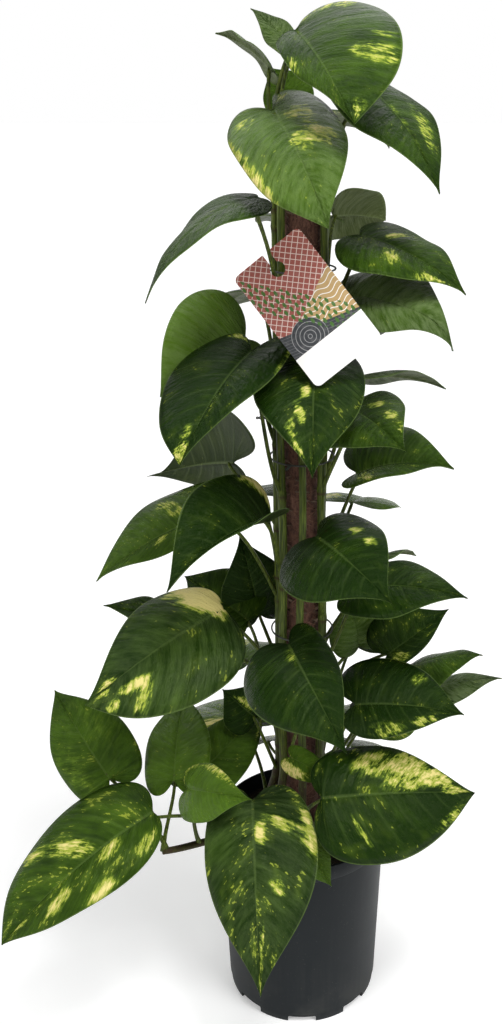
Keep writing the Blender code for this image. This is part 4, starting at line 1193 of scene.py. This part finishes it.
@dataclass
class Cane:
    """A stem's cane with swollen nodes, its petioles, its growing tip and the roots that grip the pole."""

    stem: Stem
    root_orbit: float = 40.0
    stand: float = 6.0
    gather: float = 90.0
    radius: float = 4.4
    top_radius: float = 3.2
    tip_shares: tuple[float, ...] = (0.45, 0.7, 0.88)
    bottom: float = 150.0
    buried: float = 6.0
    ring_gap: float = 3.5
    path_steps: int = 30
    node_swell: float = 0.7
    node_reach: float = 3.5
    petiole_tip: float = 1.5
    sides: int = 14
    petiole_sides: int = 10
    petiole_steps: int = 18
    root_sides: int = 6
    root_radii: tuple[float, ...] = (1.0, 0.9, 0.8, 0.75, 0.6, 0.35)

    def point(self, place: float) -> Vector:
        """Find the cane's middle.

        Args:
            place: A height, or the share of a trailing cane's own curve.

        Returns:
            The point in millimetres.
        """
        if self.stem.path:
            return bezier(self.stem.path, place)
        rooted = 1.0 - smoothstep(SOIL_TOP + self.stand, SOIL_TOP + self.gather, place)
        orbit = between(CANE_ORBIT, self.root_orbit, rooted)
        sway = 4.0 * math.sin(place / 47.0 + self.stem.angle) * (1.0 - rooted)
        angle = math.radians(self.stem.angle + sway)
        return Vector((orbit * math.cos(angle), orbit * math.sin(angle), place))

    def plain_radius(self, height: float) -> float:
        """Return a climbing cane's radius at this height between its nodes."""
        share = (height - self.bottom) / (self.stem.top - self.bottom)
        return between(self.radius, self.top_radius, share)

    def line(self) -> tuple[list[Vector], list[float]]:
        """Lay out the middle line.

        Returns:
            Its points and radii.
        """
        if self.stem.path:
            x, y, _ = self.stem.path[0]
            points = [Vector((x, y, self.bottom)), Vector((x, y, SOIL_TOP - self.buried))]
            points += [bezier(self.stem.path, i / self.path_steps) for i in range(self.path_steps + 1)]
            last = len(points) - 1
            return points, [between(self.radius, self.top_radius, i / last) for i in range(len(points))]
        steps = int((self.stem.top - self.bottom) / self.ring_gap)
        heights = [between(self.bottom, self.stem.top, i / steps) for i in range(steps + 1)]
        radii = [self.plain_radius(h) for h in heights]
        for leaf in self.stem.leaves:
            swells = [self.node_swell * bell(h - leaf.node + 1.0, self.node_reach) for h in heights]
            radii = [radius + swell for radius, swell in zip(radii, swells)]
        for back, share in enumerate(self.tip_shares, 1):
            radii[-back] *= share
        return [self.point(h) for h in heights], radii

    def petiole(self, leaf: Leaf, steps: int) -> list[Vector]:
        """Give a petiole's middle line.

        Args:
            leaf: The leaf that it carries.
            steps: How many stretches the line has.

        Returns:
            Points from inside the cane to under the blade's base.
        """
        start = self.point(leaf.node)
        blade = Blade(leaf)
        frame = blade.frame()
        forward, up = frame.col[1].to_3d(), frame.col[2].to_3d()
        end = frame @ (blade.point(1.0, 0.0, 0.43) * 0.45 - Vector((0.0, 0.0, 0.5)))
        controls = [start, *leaf.route, end]
        if not leaf.route:
            reach = (end - start).length
            out = Vector((end.x - start.x, end.y - start.y, 0.0))
            if out.length <= 1.0:
                out = Vector((start.x, start.y, 0.0))
            rise = Vector((0.0, 0.0, 0.9 if end.z > start.z else -0.27))
            first = start + (out.normalized() * 0.45 + rise).normalized() * reach * 0.45
            second = end - (forward * 0.55 + up * 0.8).normalized() * reach * 0.3
            controls = [start, first, second, end]
        return [bezier(controls, i / steps) for i in range(steps + 1)]

    def build(self, skin: bpy.types.Material, root: bpy.types.Material) -> None:
        """Build the cane with its petioles, and its aerial roots as a second piece.

        Args:
            skin: The finish of the cane.
            root: The finish of the roots.
        """
        bm = bmesh.new()
        age = bm.verts.layers.float.new("age")
        points, radii = self.line()
        for point, ring in zip(points, sweep(bm, points, radii, self.sides)):
            old = 0.75 * (1.0 - smoothstep(200.0, 420.0, point.z))
            if not self.stem.path:
                old = max([old] + [0.8 * bell(point.z - leaf.node + 3.0, 3.0) for leaf in self.stem.leaves])
            for vert in ring:
                vert[age] = old
        shares = [i / self.petiole_steps for i in range(self.petiole_steps + 1)]
        swells = [0.7 * bell(t, 0.12) + 0.25 * bell(t - 0.9, 0.04) for t in shares]
        widths = [between(PETIOLE_RADIUS, self.petiole_tip, t) + swell for t, swell in zip(shares, swells)]
        for leaf in self.stem.leaves:
            middle = self.petiole(leaf, self.petiole_steps)
            for t, ring in zip(shares, sweep(bm, middle, widths, self.petiole_sides)):
                for vert in ring:
                    vert[age] = 0.3 * bell(t, 0.1)
        bmesh.ops.recalc_face_normals(bm, faces=bm.faces)
        finish_piece("cane_" + self.stem.name, bm, (skin,), (self.stem.name,))
        if not self.stem.path:
            self.build_roots(root)

    def build_roots(self, finish: bpy.types.Material) -> None:
        """Build short aerial roots that run from the nodes into the coir.

        Args:
            finish: Their finish.
        """
        rng = random.Random(self.stem.name)
        bm = bmesh.new()
        height = SOIL_TOP + 40.0
        while height < self.stem.top - 25.0:
            start = self.point(height)
            inward = Vector((-start.x, -start.y, 0.0)).normalized()
            across = Vector((-inward.y, inward.x, 0.0))
            for _ in range(rng.randint(1, 3)):
                lean = rng.uniform(-1.0, 1.0)
                begin = start + inward * 2.5 + across * lean * 2.0
                rise = Vector((0.0, 0.0, rng.uniform(-7.0, 1.0)))
                end = start + inward * 8.5 + across * lean * 7.0 + rise
                bow = (begin + end) / 2.0 + across * lean * 2.0 - inward
                path = [bezier((begin, bow, end), i / 5.0) for i in range(6)]
                sweep(bm, path, self.root_radii, self.root_sides)
            height += rng.uniform(6.0, 13.0)
        bmesh.ops.recalc_face_normals(bm, faces=bm.faces)
        finish_piece("roots_" + self.stem.name, bm, (finish,))


@dataclass
class CoirPole:
    """A wooden stake in a rough sleeve of coir with loose fibres."""

    top: float = 845.0
    radius: float = 17.0
    core: float = 8.0
    core_bottom: float = 12.0
    core_rise: float = 3.0
    core_steps: int = 32
    coir_bottom: float = 160.0
    coir_gap: float = 0.3
    coir_ring: float = 4.0
    coir_steps: int = 48
    roughness: float = 0.9
    clumps: int = 4
    clump_fibres: int = 26
    clump_height: float = 22.0
    clump_share: float = 0.62
    first_clump: float = 34.0
    loose_share: float = 0.3
    loose_lift: float = 2.6
    fibre_radii: tuple[float, ...] = (0.16, 0.24, 0.27, 0.26, 0.22, 0.12)
    seed: int = 11

    def build(self) -> None:
        """Build the stake, the sleeve and its fibres."""
        self.build_stake()
        self.build_sleeve()
        self.build_fibres()

    def build_stake(self) -> None:
        """Build the stake with its eased top edge."""
        bm = bmesh.new()
        low, top, core = self.core_bottom, self.top + self.core_rise, self.core
        profile = [
            (0.0, low), (core - 1.0, low), (core, low + 1.0),
            (core, top - 1.2), (core - 0.4, top - 0.4), (core - 1.2, top), (0.0, top),
        ]
        turned(bm, profile, self.core_steps)
        finish_piece("stake", bm, (WOOD.build(),), ("pole_stake",))

    def build_sleeve(self) -> None:
        """Build the sleeve, whose surface swells and sinks as matted fibre does."""
        bm = bmesh.new()
        inner = self.core + self.coir_gap
        rings = int((self.top - self.coir_bottom) / self.coir_ring)
        step = (self.top - self.coir_bottom) / rings
        outer = [(self.radius - 0.5, self.top - step * i) for i in range(rings + 1)]
        outer[0] = (self.radius - 2.0, self.top)
        foot = (inner, self.coir_bottom)
        turned(bm, [foot, (inner, self.top - 0.5), *outer, foot], self.coir_steps)
        for vert in bm.verts:
            flat = math.hypot(vert.co.x, vert.co.y) / MM
            if flat > self.radius - 3.0:
                turn = math.atan2(vert.co.y, vert.co.x)
                high = vert.co.z / MM
                swell = self.roughness * math.sin(3.0 * turn + high / 9.0)
                swell *= math.sin(high / 14.0 + 2.0 * turn)
                swell += 1.1 * noise.noise(vert.co * 160.0) + 0.6 * noise.noise(vert.co * 420.0)
                vert.co.x *= 1.0 + swell / flat
                vert.co.y *= 1.0 + swell / flat
        finish_piece("coir_sleeve", bm, (COIR.build(),), ("pole_coir",))

    def build_clump(self, rng: random.Random) -> bpy.types.Mesh:
        """Build the fibres of one short length of the pole.

        Args:
            rng: The source of the fibres' places.

        Returns:
            A mesh that is repeated up the pole.
        """
        bm = bmesh.new()
        for _ in range(self.clump_fibres):
            turn = rng.uniform(0.0, math.tau)
            high = rng.uniform(0.0, self.clump_height)
            climb = rng.uniform(-9.0, 9.0)
            arc = rng.uniform(0.3, 0.9) * rng.choice((-1.0, 1.0))
            lift = rng.uniform(0.2, 0.9)
            loose = self.loose_lift if rng.random() < self.loose_share else 0.0
            path = []
            for t in (i / 5.0 for i in range(6)):
                out = self.radius + lift + 0.9 * math.sin(t * math.pi) + loose * t**3
                angle = turn + arc * t
                path.append(Vector((out * math.cos(angle), out * math.sin(angle), high + climb * t)))
            sweep(bm, path, self.fibre_radii, 4)
        mesh = bpy.data.meshes.new("fibre_clump")
        bm.to_mesh(mesh)
        bm.free()
        return mesh

    def build_fibres(self) -> None:
        """Repeat clumps of fibres up the pole, each at a turn of its own."""
        rng = random.Random(self.seed)
        clumps = [self.build_clump(rng) for _ in range(self.clumps)]
        bm = bmesh.new()
        height = self.coir_bottom + self.first_clump
        while height < self.top - self.clump_height:
            before = len(bm.verts)
            bm.from_mesh(rng.choice(clumps))
            bm.verts.ensure_lookup_table()
            spin = Matrix.Rotation(rng.uniform(0.0, math.tau), 4, "Z")
            pose = Matrix.Translation((0.0, 0.0, height * MM)) @ spin
            bmesh.ops.transform(bm, matrix=pose, verts=bm.verts[before:])
            height += self.clump_height * self.clump_share
        bmesh.ops.recalc_face_normals(bm, faces=bm.faces)
        finish_piece("coir_fibres", bm, (FIBRE.build(),))
        for clump in clumps:
            bpy.data.meshes.remove(clump)


@dataclass
class NurseryPot:
    """A thin tapered pot with a rim band, and drain recesses and holes in its foot."""

    height: float = 204.0
    rim: float = 85.0
    band_height: float = 16.0
    band_depth: float = 1.2
    base: float = 78.5
    foot_height: float = 10.0
    foot_inset: float = 1.0
    wall: float = 1.5
    drains: int = 8
    drain_width: float = 29.0
    drain_height: float = 7.0
    drain_depth: float = 13.0
    drain_past: float = 4.0
    drain_bulge: float = 1.5
    drain_hole: float = 3.5
    hole_inset: float = 24.0
    hole_depth: float = 12.0
    hole_sides: int = 24
    steps: int = 144
    sharp: float = 32.0

    def wall_radius(self, height: float) -> float:
        """Return the outer radius at this height, with the foot drawn in a little."""
        radius = self.base + (self.rim - self.base) * height / self.height
        return radius - (self.foot_inset if height < self.foot_height else 0.0)

    def profile(self) -> list[tuple[float, float]]:
        """Trace the pot from the middle of its underside, over the rim and back to the middle of its floor.

        Returns:
            The (radius, height) points.
        """
        band, low, top = self.rim + self.band_depth, self.height - self.band_height, self.height
        foot, step = self.wall_radius(0.0), self.foot_height
        inner, floor = self.rim - self.wall, self.base - self.wall - self.foot_inset
        return [
            (0.0, 0.6), (foot - 14.0, 0.6), (foot - 12.5, 0.0), (foot - 1.4, 0.0), (foot - 0.4, 0.4),
            (foot, 1.4), (foot, step - 0.6), (self.wall_radius(step), step + 0.6),
            *((self.wall_radius(h), h) for h in (40.0, 80.0, 120.0, 160.0, low - 1.6)),
            (band - 0.3, low - 0.2), (band, low + 0.4), (band, top - 1.0), (band - 0.3, top - 0.3),
            (band - 1.0, top), (inner + 0.9, top), (inner + 0.2, top - 0.4), (inner, top - 1.2),
            (inner - 0.6, top - 14.0), (floor + 0.6, 4.0), (floor - 1.0, 2.2), (0.0, 2.0),
        ]

    def build(self) -> None:
        """Build the pot, and cut the recesses and the holes from its foot."""
        bm = bmesh.new()
        turned(bm, self.profile(), self.steps)
        pot = finish_piece("nursery_pot", bm, (PotFinish().build(),), ("pot",))
        recesses, holes = bmesh.new(), bmesh.new()
        middle = self.base - self.drain_depth / 2.0
        size = (self.drain_depth + self.drain_past, self.drain_width, 2.0 * self.drain_height)
        out = Matrix.Translation(((middle + self.drain_past / 2.0) * MM, 0.0, 0.0))
        orbit = (middle - self.hole_inset) * MM
        for i in range(self.drains):
            block(recesses, size, Matrix.Rotation(math.tau * i / self.drains, 4, "Z") @ out)
            turn = math.tau * (i + 0.5) / self.drains
            place = Matrix.Translation((orbit * math.cos(turn), orbit * math.sin(turn), 0.0))
            post(holes, self.drain_hole, self.hole_depth, self.hole_sides, place)
        ease(recesses, recesses.edges[:], self.drain_bulge, 2)
        cut(pot, recesses)
        cut(pot, holes)
        pot.data.shade_smooth()
        pot.data.set_sharp_from_angle(angle=math.radians(self.sharp))


@dataclass
class PottingSoil:
    """Lumpy soil with crumbs, bark chips and a little pale grit on it."""

    lump: float = 3.0
    bottom: float = 9.0
    rings: int = 34
    steps: int = 96
    crumbs: int = 420
    chips: int = 90
    grits: int = 46
    seed: int = 5
    inner: float = NurseryPot().wall_radius(SOIL_TOP) - NurseryPot.wall - 0.7
    foot: float = NurseryPot.base - NurseryPot.wall - 1.3

    def height(self, x: float, y: float) -> float:
        """Find the height of the lumpy surface.

        Args:
            x: Millimetres along X.
            y: Millimetres along Y.

        Returns:
            The height in millimetres.
        """
        lumps = math.sin(x / 9.0 + 1.0) * math.cos(y / 7.5)
        lumps += 0.6 * math.sin((x + y) / 5.0) * math.cos((x - 2.0 * y) / 11.0)
        return SOIL_TOP + self.lump * 0.6 * lumps

    def build(self) -> None:
        """Build the soil and what lies on it."""
        bm = bmesh.new()
        profile = [(0.0, self.bottom), (self.foot - 1.0, self.bottom), (self.foot - 0.4, self.bottom + 3.0)]
        profile += [(self.inner * i / self.rings, SOIL_TOP) for i in range(self.rings, -1, -1)]
        turned(bm, profile, self.steps)
        for vert in bm.verts:
            x, y, z = vert.co / MM
            if z > SOIL_TOP - 1.0:
                edge = 1.0 - smoothstep(0.8, 1.0, math.hypot(x, y) / self.inner)
                rough = 1.5 * noise.noise(Vector((x, y, 0.0)) / 4.5)
                rough += 0.8 * noise.noise(Vector((x, y, 7.0)) / 1.8)
                vert.co.z = (between(SOIL_TOP, self.height(x, y), edge) + rough * (0.3 + 0.7 * edge)) * MM
        soil = SOIL.build()
        finish_piece("soil_bed", bm, (soil,), ("soil",))
        rng = random.Random(self.seed)
        self.scatter("soil_crumbs", soil, self.crumbs, (0.8, 2.4), (1.0, 1.0, 0.8), rng)
        self.scatter("bark_chips", BARK.build(), self.chips, (2.0, 4.6), (1.0, 0.45, 0.22), rng)
        self.scatter("pale_grit", GRIT.build(), self.grits, (0.7, 1.5), (1.0, 0.9, 0.8), rng)

    def scatter(
        self,
        name: str,
        finish: bpy.types.Material,
        count: int,
        sizes: tuple[float, float],
        shape: Point,
        rng: random.Random,
    ) -> None:
        """Strew lumps over the soil, where flat ones lie down.

        Args:
            name: The piece's name.
            finish: Their finish.
            count: How many there are.
            sizes: The least and largest radius in millimetres.
            shape: Their proportions.
            rng: The source of their places.
        """
        bm = bmesh.new()
        for _ in range(count):
            orbit = math.sqrt(rng.uniform(0.06, 0.93)) * self.inner
            turn = rng.uniform(0.0, math.tau)
            x, y = orbit * math.cos(turn), orbit * math.sin(turn)
            size = rng.uniform(*sizes)
            tilt = Quaternion([rng.gauss(0, 1) for _ in range(4)]).normalized()
            if shape[2] < 0.5:
                lean = Quaternion((1.0, 0.3, 0.0), rng.uniform(-0.4, 0.4))
                tilt = Quaternion((0.0, 0.0, 1.0), turn * 5.0) @ lean
            squeeze = Matrix.Diagonal((*(Vector(shape) * size * MM), 1.0))
            place = Matrix.Translation(Vector((x, y, self.height(x, y) + 0.5)) * MM)
            made = bmesh.ops.create_icosphere(bm, subdivisions=1, radius=1.0, matrix=Matrix())
            for vert in made["verts"]:
                vert.co *= rng.uniform(0.75, 1.15)
            bmesh.ops.transform(bm, matrix=place @ tilt.to_matrix().to_4x4() @ squeeze, verts=made["verts"])
        finish_piece(name, bm, (finish,), smooth=False)


@dataclass
class WireTie:
    """A coated wire ring round the canes and the pole, with its ends twisted into a short tail."""

    index: int
    height: float
    tail_turn: float
    wire: float = 0.8
    wire_sides: int = 8
    steps: int = 96
    solid_sides: int = 20
    tail: float = 12.0
    tail_steps: int = 24
    tail_twists: float = 2.5
    tail_coil: float = 0.95
    tail_wire: float = 0.75
    tail_sides: int = 6
    fit: float = 1.3

    def reach(self) -> float:
        """Find the ring's radius, close round the canes that climb past it.

        Returns:
            The radius in millimetres.
        """
        climbing = [Cane(stem) for stem in STEMS if not stem.path and stem.top > self.height]
        widest = max(cane.plain_radius(self.height) for cane in climbing)
        return (CANE_ORBIT + widest + self.fit) / math.cos(math.pi / self.solid_sides)

    def build(self, finish: bpy.types.Material) -> None:
        """Build the ring and its tail.

        Args:
            finish: The finish of the wire.
        """
        bm = bmesh.new()
        radius = self.reach()
        upright = Matrix.Rotation(math.pi / 2.0, 4, "X")
        place = Matrix.Translation((radius * MM, 0.0, self.height * MM)) @ upright
        ring = bmesh.ops.create_circle(
            bm, cap_ends=False, segments=self.wire_sides, radius=self.wire * MM, matrix=place
        )["verts"]
        revolve(bm, ring + list({edge for vert in ring for edge in vert.link_edges}), self.steps)
        turn = math.radians(self.tail_turn)
        out, up = Vector((math.cos(turn), math.sin(turn), 0.0)), Vector((0.0, 0.0, 1.0))
        across = Vector((-out.y, out.x, 0.0))
        for phase in (0.0, math.pi):
            path = []
            for t in (i / self.tail_steps for i in range(self.tail_steps + 1)):
                spin = phase + t * math.tau * self.tail_twists
                coil = (across * math.cos(spin) + up * math.sin(spin)) * self.wire * self.tail_coil
                path.append(out * (radius + self.tail * t) + coil + up * self.height)
            sweep(bm, path, [self.wire * self.tail_wire] * len(path), self.tail_sides)
        bmesh.ops.recalc_face_normals(bm, faces=bm.faces)
        finish_piece(f"wire_tie_{self.index}", bm, (finish,), (f"tie_{self.index}",))


@dataclass
class PlantLabel:
    """A printed plastic card that hangs by its keyhole on a petiole."""

    length: float = 110.0
    width: float = 66.0
    thickness: float = 0.7
    corner: float = 5.0
    corner_steps: int = 8
    hole: float = 6.2
    hole_sides: int = 48
    inset: float = 16.0
    slot: float = 6.0
    slot_past: float = 6.0
    play: float = 0.3
    hang: float = -53.0
    down: Point = (66, -30, -80)
    face: Point = (-11, -96, 27)
    hanger: int = 2
    petiole_steps: int = 5
    petiole_step: int = 3
    cut_depth: float = 10.0

    def frame(self) -> Matrix:
        """Find the card's axes.

        Returns:
            Across, down the card and out of its print, in metres, with the keyhole's middle as origin.
        """
        stem = STEMS[0]
        hook = Cane(stem).petiole(stem.leaves[self.hanger], self.petiole_steps)[self.petiole_step]
        down = Vector(self.down).normalized()
        face = Vector(self.face)
        face = (face - down * face.dot(down)).normalized()
        across = down.cross(face)
        frame = Matrix((across, down, face)).transposed().to_4x4()
        slack = self.hole - PETIOLE_RADIUS - self.play
        swing = math.radians(self.hang)
        frame.translation = (hook + (across * math.sin(swing) + down * math.cos(swing)) * slack) * MM
        return frame

    def build(self) -> None:
        """Build the card, and cut its keyhole."""
        bm = bmesh.new()
        middle = Matrix.Translation((0.0, (self.length / 2.0 - self.inset) * MM, 0.0))
        block(bm, (self.width, self.length, self.thickness), middle)
        upright = [edge for edge in bm.edges if edge.calc_length() < 2.0 * self.thickness * MM]
        ease(bm, upright, self.corner, self.corner_steps)
        finish = CardFinish().build()
        card = finish_piece("printed_card", bm, (finish,), ("plant_label",), smooth=False)
        hole, gap = bmesh.new(), bmesh.new()
        post(hole, self.hole, self.cut_depth, self.hole_sides, Matrix())
        reach = self.inset + self.slot_past
        block(gap, (self.slot, reach, self.cut_depth), Matrix.Translation((0.0, -reach / 2.0 * MM, 0.0)))
        cut(card, hole)
        cut(card, gap)
        bm = bmesh.new()
        bm.from_mesh(card.data)
        spread = bm.loops.layers.uv.new("card")
        for face in bm.faces:
            for loop in face.loops:
                loop[spread].uv = loop.vert.co.xy / MM / CARD_SPAN
        bmesh.ops.transform(bm, matrix=self.frame(), verts=bm.verts)
        bm.to_mesh(card.data)
        bm.free()


@dataclass
class Studio:
    """A pale floor, soft lights and the camera at the picture's place."""

    eye: Point = (0.0, -0.948, 0.923)
    pitch: float = 21.9
    lens: float = 38.85
    sensor: float = 36.0
    shift: float = -0.0493
    suns: tuple[tuple[str, Point, float, float], ...] = (
        ("side", (1.3, -1.0, 2.0), 30.0, 1.5),
        ("fill", (-1.4, -1.0, 1.5), 50.0, 1.0),
        ("back", (-0.3, 1.5, 1.6), 60.0, 0.8),
    )
    panel: Point = (0.3, -0.75, 2.15)
    panel_width: float = 0.45
    panel_power: float = 20.0
    ambient: float = 0.26
    floor_reach: float = 20.0
    aim: Point = (0.0, 0.0, 0.5)

    def build(self) -> None:
        """Build the floor, the lights, the surroundings and the camera."""
        bm = bmesh.new()
        bmesh.ops.create_grid(bm, x_segments=1, y_segments=1, size=self.floor_reach)
        floor = placed("floor", bm)
        floor.data.materials.append(FLOOR.build())
        for name, place, spread, power in self.suns:
            lamp = self.hang(name, "SUN", place, power)
            lamp.angle = math.radians(spread)
        overhead = self.hang("overhead", "AREA", self.panel, self.panel_power)
        overhead.size = self.panel_width
        self.surround()
        camera = bpy.data.cameras.new("camera")
        camera.lens = self.lens
        camera.sensor_width = self.sensor
        camera.shift_x = self.shift
        stand = bpy.data.objects.new("camera", camera)
        stand.location = self.eye
        stand.rotation_euler = (math.radians(90.0 - self.pitch), 0.0, 0.0)
        bpy.context.scene.collection.objects.link(stand)
        bpy.context.scene.camera = stand
        bpy.context.scene.view_settings.view_transform = "Standard"

    def surround(self) -> None:
        """Give the scene white surroundings that light it less than they show."""
        world = bpy.context.scene.world or bpy.data.worlds.new("studio")
        bpy.context.scene.world = world
        world.use_nodes = True
        nodes, links = world.node_tree.nodes, world.node_tree.links
        backdrop = nodes["Background"]
        backdrop.inputs["Color"].default_value = (1.0, 1.0, 1.0, 1.0)
        sight = nodes.new("ShaderNodeLightPath")
        level = nodes.new("ShaderNodeMapRange")
        level.inputs["To Min"].default_value = self.ambient
        links.new(sight.outputs["Is Camera Ray"], level.inputs["Value"])
        links.new(level.outputs["Result"], backdrop.inputs["Strength"])

    def hang(self, name: str, kind: str, place: Point, power: float) -> bpy.types.Light:
        """Hang one lamp that looks at the middle of the plant.

        Args:
            name: The lamp's name.
            kind: SUN or AREA.
            place: Where it hangs, in metres.
            power: Its strength.

        Returns:
            The lamp, for its spread or size.
        """
        lamp = bpy.data.lights.new(name, kind)
        lamp.energy = power
        stand = bpy.data.objects.new(name, lamp)
        stand.location = place
        stand.rotation_euler = (Vector(self.aim) - Vector(place)).to_track_quat("-Z", "Y").to_euler()
        bpy.context.scene.collection.objects.link(stand)
        return lamp


TIES = ((322.0, 200.0), (422.0, 140.0), (597.0, 250.0), (633.0, 182.0), (765.0, 190.0))


def main() -> None:
    """Build the looks in order and report each piece."""
    logging.basicConfig(level=logging.INFO, format="%(message)s")
    for thing in list(bpy.data.objects):
        bpy.data.objects.remove(thing)
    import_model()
    Studio().build()
    NurseryPot().build()
    PottingSoil().build()
    CoirPole().build()
    sides = (UPPER.build(), UNDER.build())
    skin, root = CANE.build(), ROOT.build()
    for stem in STEMS:
        Cane(stem).build(skin, root)
        for leaf in stem.leaves:
            Blade(leaf).build(sides, stem)
    wire = WireFinish().build()
    for index, (height, turn) in enumerate(TIES):
        WireTie(index, height, turn).build(wire)
    PlantLabel().build()


if __name__ == "__main__":
    main()
